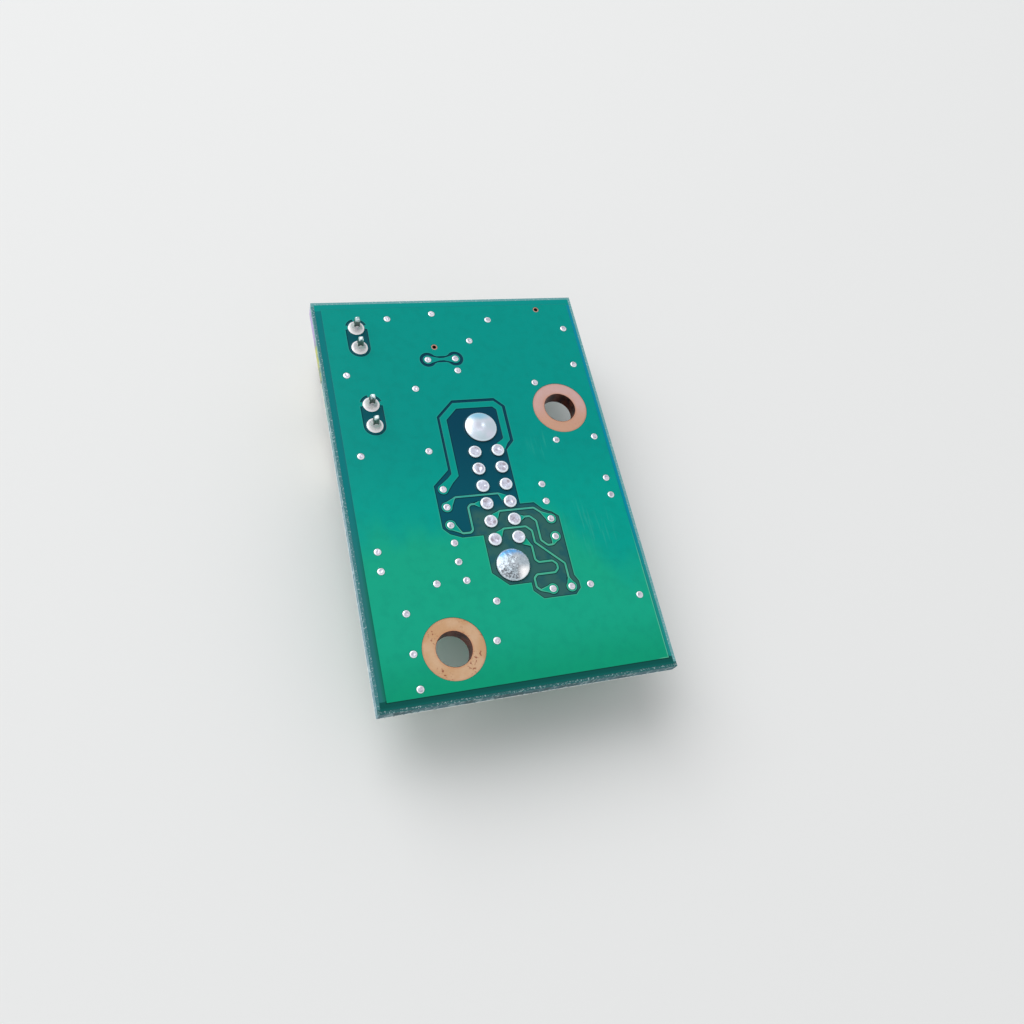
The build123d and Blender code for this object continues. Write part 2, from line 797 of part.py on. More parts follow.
def header_housing(place):
    """The shroud of one 2-way header: a socket open downwards, slotted twice in its inner long wall."""
    x, y = place
    center = (x - header_pin_offset, y)
    low = connector_height - header_height
    with BuildPart() as housing:
        with BuildSketch(Plane.XY.offset(low)):
            with Locations(center):
                RectangleRounded(header_width, header_length, housing_corner)
        extrude(amount=header_height)
        with BuildSketch(Plane.XY.offset(low)):
            with Locations(center):
                Rectangle(header_width - 2 * header_wall, header_length - 2 * header_wall)
        extrude(amount=header_height - header_floor, mode=Mode.SUBTRACT)
        with BuildSketch(Plane.XY.offset(low)):
            with Locations((center[0] + (header_width - header_wall) / 2, y)):
                with Locations((0, header_pitch / 2), (0, -header_pitch / 2)):
                    Rectangle(2 * header_wall, header_slot_width)
        extrude(amount=header_slot_depth, mode=Mode.SUBTRACT)
        with BuildSketch(Plane.XY.offset(connector_height)):
            with Locations((x, y + header_pitch / 2), (x, y - header_pitch / 2)):
                Rectangle(header_pin_width, header_pin_width)
        extrude(amount=-header_floor, mode=Mode.SUBTRACT)
    return housing.part


for header, position in enumerate(("upper", "lower")):
    housing = header_housing(header_places[header])
    housing.label = position + "_header_housing"
    export_step(housing, "parts/" + housing.label + ".step")
    pin_places = [header_pin(header, 0), header_pin(header, 1)]
    group(header_pin_bar, pin_places, position + "_header_pins")
    group(header_joint.part, pin_places, position + "_header_solder")

# Housing of the flat edge connector: its socket faces the far edge of the board
edge_low_z = connector_height - edge_connector_height
edge_middle_z = connector_height - edge_connector_height / 2
with BuildPart() as edge_housing:
    with BuildSketch(Plane.XY.offset(edge_low_z)):
        with Locations((edge_connector_x, edge_middle_y)):
            Rectangle(edge_length, edge_connector_depth)
    extrude(amount=edge_connector_height)
    chamfer(edge_housing.edges().filter_by(Axis.Z), length=edge_corner_cut)
    with BuildSketch(Plane.XZ.offset(-edge_front_y)):
        with Locations((edge_connector_x, edge_middle_z)):
            Rectangle(
                edge_length - 2 * (edge_connector_wall + edge_socket_shoulder),
                edge_connector_height - 2 * edge_connector_wall,
            )
    extrude(amount=edge_socket_depth, mode=Mode.SUBTRACT)
    with BuildSketch(Plane.XZ.offset(-edge_rear_y)):
        with Locations(*[(edge_pad(way)[0], edge_middle_z) for way in range(edge_connector_ways)]):
            Rectangle(edge_contact_width, edge_contact_thickness)
    extrude(amount=-(edge_connector_depth - edge_socket_depth), mode=Mode.SUBTRACT)
edge_housing.part.label = "edge_connector_housing"
export_step(edge_housing.part, "parts/edge_connector_housing.step")

# Contacts of the edge connector: a flat pin through the rear wall, bent up to a foot on its pad
foot_z = under_copper_z - edge_contact_thickness / 2
knee_y = edge_rear_y - edge_contact_thickness
with BuildPart() as edge_contact:
    with BuildSketch(Plane.YZ.offset(-edge_contact_width / 2)):
        with BuildLine():
            Polyline(
                (edge_front_y - edge_pin_recess, edge_middle_z),
                (knee_y, edge_middle_z),
                (knee_y, foot_z),
                (knee_y - edge_foot_length, foot_z),
            )
        trace(line_width=edge_contact_thickness)
    extrude(amount=edge_contact_width)
edge_pad_places = [(edge_pad(way)[0], 0) for way in range(edge_connector_ways)]
group(edge_contact.part, edge_pad_places, "edge_connector_contacts")


def hold_down_tab(side):
    """A bent metal tab beside the edge connector's end, with its foot on the ground plane."""
    wall_x = edge_connector_x + side * (edge_length / 2 + tab_thickness / 2)
    with BuildPart() as tab:
        with BuildSketch(Plane.XZ.offset(-edge_middle_y - tab_length / 2)):
            with BuildLine():
                Polyline(
                    (wall_x, edge_low_z + edge_corner_cut),
                    (wall_x, under_copper_z - tab_thickness / 2),
                    (wall_x + side * (tab_thickness / 2 + tab_foot), under_copper_z - tab_thickness / 2),
                )
            trace(line_width=tab_thickness)
        extrude(amount=tab_length)
    return tab.part


for side, position in ((-1, "left"), (1, "right")):
    tab = hold_down_tab(side)
    tab.label = position + "_hold_down_tab"
    export_step(tab, "parts/" + tab.label + ".step")


def paint_stroke(upper_y, length, name):
    """A thin stroke of paint on the lower half of the board's left edge."""
    with BuildPart() as stroke:
        with BuildSketch(Plane.XY.offset(laminate_z)):
            with Locations((left - paint_thickness / 2, upper_y - length / 2)):
                Rectangle(paint_thickness, length)
        extrude(amount=paint_height)
        chamfer(stroke.faces().sort_by(Axis.X)[0].edges(), length=paint_thickness / 2)
    stroke.part.label = name
    export_step(stroke.part, "parts/" + name + ".step")


paint_stroke(top - paint_from_top, pink_paint_length, "pink_edge_mark")
paint_stroke(top - paint_from_top - pink_paint_length, yellow_paint_length, "yellow_edge_mark")
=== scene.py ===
import bpy
import numpy as np
from mathutils import Matrix, Vector


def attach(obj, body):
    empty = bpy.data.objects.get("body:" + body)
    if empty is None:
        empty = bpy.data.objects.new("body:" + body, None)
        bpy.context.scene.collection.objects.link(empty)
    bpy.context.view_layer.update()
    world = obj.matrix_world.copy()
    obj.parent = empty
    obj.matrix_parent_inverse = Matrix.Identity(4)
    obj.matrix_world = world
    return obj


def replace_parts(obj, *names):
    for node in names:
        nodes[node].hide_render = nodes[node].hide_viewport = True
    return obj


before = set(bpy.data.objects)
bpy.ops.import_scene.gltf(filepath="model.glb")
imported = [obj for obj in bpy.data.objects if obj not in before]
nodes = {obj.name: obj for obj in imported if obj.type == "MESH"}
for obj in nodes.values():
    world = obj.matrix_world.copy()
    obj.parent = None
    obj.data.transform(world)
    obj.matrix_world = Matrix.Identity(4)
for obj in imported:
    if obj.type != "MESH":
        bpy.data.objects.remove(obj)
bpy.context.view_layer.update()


# ---- Laminate ----
# The board is woven glass cloth in epoxy, cut from its panel with a saw. Its sides show the cut
# ends of the glass bundles, rough and pale, and a bare rim lies outside the mask on both faces.
MM = 0.001
board_half_width = 15.0 * MM
board_half_length = 22.5 * MM
laminate_top = 9.59 * MM


def linear(hex_colour):
    """An sRGB hex colour as a linear RGBA tuple: the standard curve, channel by channel."""
    values = np.array([int(hex_colour[i : i + 2], 16) / 255 for i in (1, 3, 5)])
    curve = np.where(values <= 0.04045, values / 12.92, ((values + 0.055) / 1.055) ** 2.4)
    return (*[float(v) for v in curve], 1.0)


def add_node(tree, kind, inputs=None, **settings):
    """Adds one shader node with its settings and links, and returns its first output in use.

    An input is a number, a hex colour, or another node's output."""
    node = tree.nodes.new("ShaderNode" + kind)
    for name, value in settings.items():
        setattr(node, name, value)
    for key, value in (inputs or {}).items():
        if isinstance(value, bpy.types.NodeSocket):
            tree.links.new(value, node.inputs[key])
        else:
            node.inputs[key].default_value = linear(value) if isinstance(value, str) else value
    return next((output for output in node.outputs if output.enabled), None)


def new_material(name):
    """An empty node material, its tree, its Object coordinates and their three parts."""
    material = bpy.data.materials.new(name)
    material.use_nodes = True
    tree = material.node_tree
    tree.nodes.clear()
    place = add_node(tree, "TexCoord").node.outputs["Object"]
    return material, tree, place, add_node(tree, "SeparateXYZ", {0: place}).node.outputs


def noise_scale(lump):
    """The scale of a noise whose lumps measure so many millimetres, half a wave to a lump."""
    return 0.5 / (lump * MM)


def lay_over(tree, tone, new_tone, along, start, end, share=1.0):
    """Lays a new tone over a tone where a value runs from start to end, up to a share of it.

    The value's way s from 0 to 1 is eased: three times s squared, less twice s cubed."""
    eased = add_node(
        tree, "MapRange", {0: along, 1: start, 2: end, 4: share}, interpolation_type="SMOOTHSTEP"
    )
    return add_node(tree, "Mix", {0: eased, 6: tone, 7: new_tone}, data_type="RGBA")


def put_past(tree, tone, new_tone, value, comparison, limit):
    """Puts a new tone in place of a tone where a value compares so with its limit."""
    past = add_node(tree, "Math", {0: value, 1: limit}, operation=comparison)
    return add_node(tree, "Mix", {0: past, 6: tone, 7: new_tone}, data_type="RGBA")


def overlap(tree, *ramps):
    """The product of two eased ramps, each given as a value, its start and its end."""
    first, second = [
        add_node(tree, "MapRange", {0: value, 1: start, 2: end}, interpolation_type="SMOOTHSTEP")
        for value, start, end in ramps
    ]
    return add_node(tree, "Math", {0: first, 1: second}, operation="MULTIPLY")


def finish(tree, tone, roughness, metallic=0.0, specular=0.5, height=None, depth=0.0, strength=0.5):
    """Ends a material: its tone, its gloss, and a height that stands proud by a depth as bump."""
    inputs = {"Base Color": tone, "Roughness": roughness, "Metallic": metallic}
    inputs["Specular IOR Level"] = specular
    if height is not None:
        bump = {"Height": height, "Distance": depth, "Strength": strength}
        inputs["Normal"] = add_node(tree, "Bump", bump)
    shader = add_node(tree, "BsdfPrincipled", inputs)
    add_node(tree, "OutputMaterial", {"Surface": shader})


def dress(node_names, material):
    """Gives CAD nodes one material in place of their plain one."""
    for name in node_names:
        nodes[name].data.materials.clear()
        nodes[name].data.materials.append(material)


# Sawn glass epoxy: dull and mottled by the cut bundles, paler on the left side than on the others
# as painted light, with a blue tint that is a painted reflection of the surround, light flecks of
# loose glass and a bright broken arris along the foot. The bare rim is darker in front and paler at
# the right and back, painted light. Here and in the other materials a pattern under 0.3 mm is drawn
# coarser than the real one.
laminate_material, tree, place, (x, y, z) = new_material("sawn_glass_epoxy")
upright = add_node(tree, "Mapping", {"Vector": place, "Scale": (1, 1, 0.35)})
bundles = add_node(tree, "TexNoise", {"Vector": upright, "Scale": noise_scale(0.5), "Detail": 2.0})
flecks = add_node(tree, "TexNoise", {"Vector": upright, "Scale": noise_scale(0.2), "Detail": 3.0})
fuzz = add_node(tree, "TexNoise", {"Vector": place, "Scale": noise_scale(0.1), "Detail": 3.0})
# Painted light: the left side is paler than the others, and the sides carry a painted blue
# reflection
lit_left_tone = lay_over(tree, "#80b0ab", "#86abb7", y, 12 * MM, -2 * MM)
tone, dark_tone, pale_tone = [
    lay_over(tree, on_left, elsewhere, x, -14.95 * MM, -14.8 * MM)
    for on_left, elsewhere in (
        (lit_left_tone, "#426f79"),
        ("#739ca7", "#2a5257"),
        ("#bfd6dc", "#8fadb0"),
    )
]
tone = lay_over(tree, tone, dark_tone, bundles, 0.5, 0.6, share=0.85)
tone = lay_over(tree, tone, pale_tone, flecks, 0.52, 0.64, share=0.8)
lower_arris = overlap(tree, (z, 8.4 * MM, 8.16 * MM), (fuzz, 0.3, 0.46))
tone = add_node(tree, "Mix", {0: lower_arris, 6: tone, 7: "#f4fafa"}, data_type="RGBA")
# Painted light on the bare rim of the faces: darker in front, paler at the right and back
face = add_node(tree, "NewGeometry").node.outputs["Normal"]
upward_part = add_node(tree, "SeparateXYZ", {0: face}).node.outputs[2]
facing = add_node(tree, "Math", {0: upward_part}, operation="ABSOLUTE")
on_right = add_node(tree, "Math", {0: x, 1: 14 * MM}, operation="GREATER_THAN")
at_back = add_node(tree, "Math", {0: y, 1: 22 * MM}, operation="GREATER_THAN")
far_side = add_node(tree, "Math", {0: on_right, 1: at_back}, operation="MAXIMUM")
rim_tone = add_node(tree, "Mix", {0: far_side, 6: "#38777c", 7: "#5f9c9f"}, data_type="RGBA")
rim_tone = put_past(tree, rim_tone, "#165a5b", y, "LESS_THAN", -22 * MM)
rim_tone = lay_over(tree, rim_tone, "#b4cfd2", fuzz, 0.56, 0.68, share=0.6)
tone = put_past(tree, tone, rim_tone, facing, "GREATER_THAN", 0.7)
finish(tree, tone, 0.6, specular=0.35, height=flecks, depth=0.06 * MM, strength=0.7)
dress(["board_laminate"], laminate_material)


def add_piece(name, points, faces, material, attributes=None):
    """A piece from points in metres, with its material, body and point attributes."""
    mesh = bpy.data.meshes.new(name)
    mesh.from_pydata(points.reshape(-1, 3), [], faces.tolist())
    mesh.shade_smooth()
    mesh.materials.append(material)
    for key, values in (attributes or {}).items():
        layer = mesh.attributes.new(key, "FLOAT", "POINT")
        layer.data.foreach_set("value", np.ascontiguousarray(values, dtype=np.float32).ravel())
    piece = bpy.data.objects.new(name, mesh)
    bpy.context.scene.collection.objects.link(piece)
    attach(piece, "root")
    return piece


# Torn glass along the saw cut: short slivers strewn on the bare rim of the upper face. Each has a
# way along the outline, counted over the left side, the front, the right side and the back.
rng = np.random.default_rng(11)
sliver_count = 420
rim_width = 0.26 * MM
bare_edge = 0.03 * MM
corner_gap = 0.15 * MM
sliver_spread = 0.45
bulge = 1.6
long_side = 2 * board_half_length
short_side = 2 * board_half_width
along = rng.uniform(0, 2 * (long_side + short_side), sliver_count)
inset = rng.uniform(bare_edge, rim_width, sliver_count)
corners_passed = [0, long_side, long_side + short_side, 2 * long_side + short_side]
side = np.searchsorted(corners_passed, along, side="right") - 1
run = along - np.array(corners_passed)[side]
run_y = np.clip(run, corner_gap, long_side - corner_gap) - board_half_length
run_x = np.clip(run, corner_gap, short_side - corner_gap) - board_half_width
sliver_x = np.select(
    [side == 0, side == 2], [inset - board_half_width, board_half_width - inset], run_x
)
sliver_y = np.select(
    [side == 1, side == 3], [inset - board_half_length, board_half_length - inset], run_y
)
turn = np.where(side % 2 == 0, np.pi / 2, 0) + rng.normal(0, sliver_spread, sliver_count)
half_long = rng.uniform(0.03, 0.09, sliver_count) * MM
half_thick = rng.uniform(0.006, 0.013, sliver_count) * MM

# A sliver is a low pyramid: four corners and a peak, given as shares of its half length and half
# thickness, and turned by its angle
local_x = half_long[:, None] * np.array([-1, -0.2, 1, -0.1, 0.0])
local_y = bulge * half_thick[:, None] * np.array([0, -1, 0.2, 1, 0.0])
cosine, sine = np.cos(turn)[:, None], np.sin(turn)[:, None]
points = np.stack(
    [
        sliver_x[:, None] + local_x * cosine - local_y * sine,
        sliver_y[:, None] + local_x * sine + local_y * cosine,
        laminate_top + half_thick[:, None] * np.array([0.2, 0.3, 0.1, 0.2, 1.0]) * bulge,
    ],
    axis=-1,
)
points[..., 0] = np.clip(points[..., 0], -board_half_width, board_half_width)
points[..., 1] = np.clip(points[..., 1], -board_half_length, board_half_length)
fan = np.array([[0, 1, 4], [1, 2, 4], [2, 3, 4], [3, 0, 4]])
faces = (np.arange(sliver_count)[:, None, None] * points.shape[1] + fan).reshape(-1, 3)

# Broken glass fibre: clean glass catches the light, resin on it is greyer
glass_material, tree, place, _ = new_material("broken_glass_fibre")
resin = add_node(tree, "TexNoise", {"Vector": place, "Scale": noise_scale(0.3), "Detail": 2.0})
finish(tree, lay_over(tree, "#c9d7d8", "#7f9a9c", resin, 0.4, 0.65), 0.45)
add_piece("torn_glass_rim", points, faces, glass_material)


# ---- Copper ----
# Rolled copper foil, etched, with copper plated over it and down the holes. It is bare only in the
# two test vias and in the two rings, which are 6.2 mm across, round bores of 3.5 mm.
lower_ring = (-6.95 * MM, -17.5 * MM)
upper_ring = (10.1 * MM, 7.7 * MM)


def distance_from(tree, x, y, center):
    """The distance of a point from an upright line through a centre, by Pythagoras."""
    squares = []
    for value, middle in zip((x, y), center):
        off = add_node(tree, "Math", {0: value, 1: middle}, operation="SUBTRACT")
        squares.append(add_node(tree, "Math", {0: off, 1: off}, operation="MULTIPLY"))
    total = add_node(tree, "Math", {0: squares[0], 1: squares[1]}, operation="ADD")
    return add_node(tree, "Math", {0: total}, operation="SQRT")


# Tarnished copper: satin and dull, pinkish round the upper hole and tan round the lower one, redder
# at the ring's outer and inner edges, with clusters of dark oxide specks, most of them at the lower
copper_material, tree, place, (x, y, z) = new_material("tarnished_copper")
clouds = add_node(tree, "TexNoise", {"Vector": place, "Scale": noise_scale(0.9), "Detail": 3.0})
upper_tone = lay_over(tree, "#ba9078", "#bd9b96", y, 5.6 * MM, 8.4 * MM)
upper_tone = lay_over(tree, upper_tone, "#b98d7c", clouds, 0.35, 0.7, share=0.5)
lower_tone = lay_over(tree, "#bd9c7d", "#b58e69", clouds, 0.35, 0.65)
tone = lay_over(tree, lower_tone, upper_tone, y, -4 * MM, 0.0)
from_lower = distance_from(tree, x, y, lower_ring)
from_upper = distance_from(tree, x, y, upper_ring)
nearest = add_node(tree, "Math", {0: from_lower, 1: from_upper}, operation="MINIMUM")
tone = lay_over(tree, tone, "#a9694a", nearest, 2.85 * MM, 3.08 * MM, share=0.35)
tone = lay_over(tree, tone, "#b47d5a", nearest, 2.05 * MM, 1.78 * MM, share=0.45)
clusters = add_node(tree, "TexNoise", {"Vector": place, "Scale": noise_scale(0.8), "Detail": 0.0})
specks = add_node(tree, "TexNoise", {"Vector": place, "Scale": noise_scale(0.13), "Detail": 1.0})
more_at_lower = add_node(
    tree,
    "MapRange",
    {0: y, 1: 0.0, 2: -6 * MM, 3: 0.12, 4: 0.9},
    interpolation_type="SMOOTHSTEP",
)
speckled = overlap(tree, (clusters, 0.57, 0.68), (specks, 0.54, 0.68))
speckled = add_node(tree, "Math", {0: speckled, 1: more_at_lower}, operation="MULTIPLY")
tone = add_node(tree, "Mix", {0: speckled, 6: tone, 7: "#7c3c28"}, data_type="RGBA")
patina = add_node(tree, "TexNoise", {"Vector": place, "Scale": noise_scale(0.2), "Detail": 4.0})
roughness = add_node(
    tree, "MapRange", {0: patina, 1: 0.3, 2: 0.7, 3: 0.42, 4: 0.58}, interpolation_type="SMOOTHSTEP"
)
finish(tree, tone, roughness, metallic=0.55, height=patina, depth=0.01 * MM)
copper_nodes = [n for n in nodes if n.startswith(("signal_track", "power_track", "link_track"))]
copper_nodes += ["solder_side_ground", "component_side_ground"]
copper_nodes += ["component_side_tracks", "loose_pads"]
dress(copper_nodes, copper_material)

# Copper plating in the bores: deep red-brown as painted shade, with darker stains that run down
# them
bore_material, tree, place, _ = new_material("shaded_copper_plating")
down = add_node(tree, "Mapping", {"Vector": place, "Scale": (1, 1, 0.5)})
stains = add_node(tree, "TexNoise", {"Vector": down, "Scale": noise_scale(0.35), "Detail": 3.0})
finish(tree, lay_over(tree, "#66301f", "#35191a", stains, 0.4, 0.65), 0.45, metallic=0.4)
dress(["upper_hole_plating", "lower_hole_plating"], bore_material)

# Bare via copper: a dull brown ring at the top, and black painted shade within the narrow hole
via_material, tree, place, (x, y, z) = new_material("bare_via_copper")
finish(tree, lay_over(tree, "#97705c", "#150d0c", z, 9.6 * MM, 9.4 * MM), 0.5, metallic=0.3)
dress(["left_test_via", "right_test_via"], via_material)


# ---- Solder mask ----
# Green photo-imaged lacquer, screened over both faces and cured. It is bright where copper lies
# under it and dark over the bare laminate, and it rounds off where it steps down from the copper.
mask_over_copper = 9.65 * MM
mask_over_laminate = 9.615 * MM
pour_half_width = 13.9 * MM
pour_half_length = 21.4 * MM


def outside(tree, x, y, half_width, half_length):
    """1 where a point lies outside a rectangle about the middle of the board, and 0 inside it."""
    past = []
    for value, limit in ((x, half_width), (y, half_length)):
        size = add_node(tree, "Math", {0: value}, operation="ABSOLUTE")
        past.append(add_node(tree, "Math", {0: size, 1: limit}, operation="GREATER_THAN"))
    return add_node(tree, "Math", {0: past[0], 1: past[1]}, operation="MAXIMUM")


def pour_tone(tree, place, x, y):
    """The mask over copper: green, teal behind a wavy line as a painted reflection of the blue
    surround and warmer in front of it, with painted sheen streaked in two patches.
    """
    wide = add_node(tree, "Mapping", {"Vector": place, "Scale": (1, 0.5, 1)})
    drift = add_node(tree, "TexNoise", {"Vector": wide, "Scale": noise_scale(1.6), "Detail": 2.0})
    shift = add_node(tree, "MapRange", {0: drift, 1: 0.3, 2: 0.7, 3: -1.4 * MM, 4: 1.4 * MM})
    bend = add_node(
        tree,
        "MapRange",
        {0: x, 1: 5 * MM, 2: 14 * MM, 3: 0.0, 4: 7.0 * MM},
        interpolation_type="SMOOTHSTEP",
    )
    wavy = add_node(tree, "Math", {0: y, 1: bend}, operation="ADD")
    wavy = add_node(tree, "Math", {0: wavy, 1: shift}, operation="ADD")
    # Painted reflection: the teal at the back stands for the blue surround mirrored in the lacquer
    tone = lay_over(tree, "#009288", "#009c8d", y, 5 * MM, -4 * MM)
    tone = lay_over(tree, tone, "#15a585", wavy, -2.6 * MM, -8.4 * MM)
    tone = lay_over(tree, tone, "#0b9873", y, -15.5 * MM, -22 * MM)
    # Painted sheen: light streaks in two patches
    long = add_node(tree, "Mapping", {"Vector": place, "Scale": (1.0, 0.07, 1)})
    lines = add_node(tree, "TexNoise", {"Vector": long, "Scale": noise_scale(0.16), "Detail": 3.0})
    sheen_streaks = add_node(
        tree, "MapRange", {0: lines, 1: 0.52, 2: 0.68}, interpolation_type="SMOOTHSTEP"
    )
    upper_sheen_patch, lower_sheen_patch = [
        add_node(
            tree,
            "MapRange",
            {0: distance_from(tree, x, y, center), 1: outer, 2: inner},
            interpolation_type="SMOOTHSTEP",
        )
        for center, outer, inner in (
            ((7.2 * MM, 3.6 * MM), 2.6 * MM, 0.6 * MM),
            ((9.8 * MM, -6.6 * MM), 4.2 * MM, 1.0 * MM),
        )
    ]
    patches = add_node(tree, "Math", {0: upper_sheen_patch, 1: lower_sheen_patch}, operation="MAXIMUM")
    painted_sheen = add_node(tree, "Math", {0: sheen_streaks, 1: patches}, operation="MULTIPLY")
    painted_sheen = add_node(tree, "Math", {0: painted_sheen, 1: 0.35}, operation="MULTIPLY")
    tone = add_node(tree, "Mix", {0: painted_sheen, 6: tone, 7: "#35ab98"}, data_type="RGBA")
    clouds = add_node(tree, "TexNoise", {"Vector": place, "Scale": noise_scale(0.5), "Detail": 4.0})
    return lay_over(tree, tone, "#046a62", clouds, 0.4, 0.75, share=0.12)


def window_tone(tree, place, x, y):
    """The mask over bare laminate: deep blue-green, greyer and mottled in the lower window."""
    mottle = add_node(tree, "TexNoise", {"Vector": place, "Scale": noise_scale(0.6), "Detail": 2.0})
    mottle = add_node(
        tree,
        "MapRange",
        {0: mottle, 1: 0.36, 2: 0.56, 3: 0.55, 4: 1.0},
        interpolation_type="SMOOTHSTEP",
    )
    tone = lay_over(tree, "#014055", "#035161", y, 8 * MM, -4 * MM)
    grey = overlap(tree, (x, -3.0 * MM, -2.0 * MM), (y, -2.9 * MM, -4.3 * MM))
    grey = add_node(tree, "Math", {0: grey, 1: mottle}, operation="MULTIPLY")
    tone = add_node(tree, "Mix", {0: grey, 6: tone, 7: "#32625f"}, data_type="RGBA")
    return put_past(tree, tone, "#01525c", x, "LESS_THAN", -8 * MM)


def margin_tone(tree, x, y):
    """The mask in the margin round the pour: each side of the board has its own depth of green,
    painted light that is darkest in front and bluest at the right.
    """
    lower_left = lay_over(tree, "#15705f", "#2b7272", x, -14.1 * MM, -14.5 * MM)
    left = lay_over(tree, "#02777a", lower_left, y, 2 * MM, -14 * MM)
    right = lay_over(tree, "#0489a0", "#1b8b85", y, -4 * MM, -15 * MM)
    tone = put_past(tree, left, right, x, "GREATER_THAN", 0.0)
    front = lay_over(tree, "#0a524d", "#10605b", y, -21.85 * MM, -22.2 * MM)
    tone = put_past(tree, tone, front, y, "LESS_THAN", -pour_half_length)
    return put_past(tree, tone, "#02908a", y, "GREATER_THAN", pour_half_length)


def mask_tones(tree, place, x, y):
    """The two colours of the mask, over copper and over laminate, by place on the board."""
    in_margin = outside(tree, x, y, pour_half_width, pour_half_length)
    tones = {0: in_margin, 6: window_tone(tree, place, x, y), 7: margin_tone(tree, x, y)}
    return pour_tone(tree, place, x, y), add_node(tree, "Mix", tones, data_type="RGBA")


def finish_mask(tree, place, tone):
    """Cured lacquer: a low even gloss over the faint weave of the cloth below."""
    weave = add_node(tree, "TexNoise", {"Vector": place, "Scale": noise_scale(0.28), "Detail": 3.0})
    finish(tree, tone, 0.28, specular=0.06, height=weave, depth=0.006 * MM, strength=0.6)


def mask_material(name, copper_height, laminate_height):
    """Solder mask: the height of the surface says whether copper lies under it."""
    material, tree, place, (x, y, z) = new_material(name)
    over_copper, over_laminate = mask_tones(tree, place, x, y)
    margin = (copper_height - laminate_height) * 0.1
    start, end = laminate_height + margin, copper_height - margin
    finish_mask(tree, place, lay_over(tree, over_laminate, over_copper, z, start, end))
    return material


# Cured solder mask: smooth blue-green lacquer, bright over the copper and dark beside it
upper_mask = mask_material("cured_solder_mask", mask_over_copper, mask_over_laminate)
lower_mask = mask_material("cured_solder_mask_below", 8.0 * MM, 8.035 * MM)
dress(["solder_side_mask"], upper_mask)
dress(["component_side_mask"], lower_mask)


def mesh_points(name):
    """The points of a node's mesh, one row each."""
    mesh = nodes[name].data
    coordinates = np.empty(len(mesh.vertices) * 3, dtype=np.float32)
    mesh.vertices.foreach_get("co", coordinates)
    return coordinates.reshape(-1, 3)


def level_edges(name, height):
    """The outline of a node's upward faces at one height, as edges with the faces on their left.

    Points that snap to one place are one point, and an edge that two faces share is dropped."""
    snap = 0.0002
    level_tolerance = 0.002 * MM
    mesh = nodes[name].data
    mesh.calc_loop_triangles()
    triangles = np.empty(len(mesh.loop_triangles) * 3, dtype=np.int32)
    mesh.loop_triangles.foreach_get("vertices", triangles)
    corners = mesh_points(name).astype(np.float64)[triangles.reshape(-1, 3)]
    corners = corners[np.all(np.abs(corners[..., 2] - height) < level_tolerance, axis=1)]
    first, second = corners[:, 1] - corners[:, 0], corners[:, 2] - corners[:, 0]
    turn = first[:, 0] * second[:, 1] - first[:, 1] * second[:, 0]
    corners = np.where((turn < 0)[:, None, None], corners[:, ::-1], corners)[np.abs(turn) > 0]
    keys = np.rint(corners[..., :2] / (snap * MM)).astype(np.int64).reshape(-1, 2)
    unique, index = np.unique(keys, axis=0, return_inverse=True)
    index = index.reshape(-1, 3)
    edges = np.concatenate([index[:, [0, 1]], index[:, [1, 2]], index[:, [2, 0]]])
    edges = edges[edges[:, 0] != edges[:, 1]]
    forward = edges[:, 0] * len(unique) + edges[:, 1]
    backward = edges[:, 1] * len(unique) + edges[:, 0]
    return unique * snap * MM, edges[~np.isin(forward, backward)]


def edge_strip(points, edges, distances, heights):
    """A strip along directed edges: rows at signed distances to their left, mitred at the corners.

    At a corner the two edges' left normals are added, and the sum is stretched to meet both rows.
    Distances and heights are in millimetres. The third result runs from 0 to 1 across the strip."""
    sharpest_mitre = 1.6
    along = points[edges[:, 1]] - points[edges[:, 0]]
    along /= np.linalg.norm(along, axis=1, keepdims=True)
    left = np.stack([-along[:, 1], along[:, 0]], axis=1)
    total = np.zeros_like(points)
    np.add.at(total, edges[:, 0], left)
    np.add.at(total, edges[:, 1], left)
    length = np.maximum(np.linalg.norm(total, axis=1, keepdims=True), 1e-6)
    mitre = total / length * np.minimum(2 / length, sharpest_mitre)
    used, local = np.unique(edges, return_inverse=True)
    local = local.reshape(-1, 2)
    rows = points[used][:, None, :] + mitre[used][:, None, :] * (np.array(distances) * MM)[:, None]
    level = np.broadcast_to((np.array(heights) * MM)[None, :, None], rows.shape[:2] + (1,))
    count = len(distances)
    start = local[:, 0, None] * count + np.arange(count - 1)
    end = local[:, 1, None] * count + np.arange(count - 1)
    faces = np.stack([start, end, end + 1, start + 1], axis=-1).reshape(-1, 4)
    across = np.broadcast_to(np.linspace(0, 1, count), (len(used), count))
    return np.concatenate([rows, level], axis=2), faces, across


def plan_places(names):
    """The different places, seen from above, of the mesh points of some nodes."""
    found = [np.round(mesh_points(name)[:, :2], 6) for name in names]
    return np.unique(np.concatenate(found), axis=0)


def gap_between(points, others):
    """The distance from each point to the nearest of the others, block by block to save memory."""
    block = 400
    gaps = []
    for start in range(0, len(points), block):
        apart = points[start : start + block, None, :] - others[None]
        gaps.append(np.sqrt((apart**2).sum(axis=2)).min(axis=1))
    return np.concatenate(gaps)


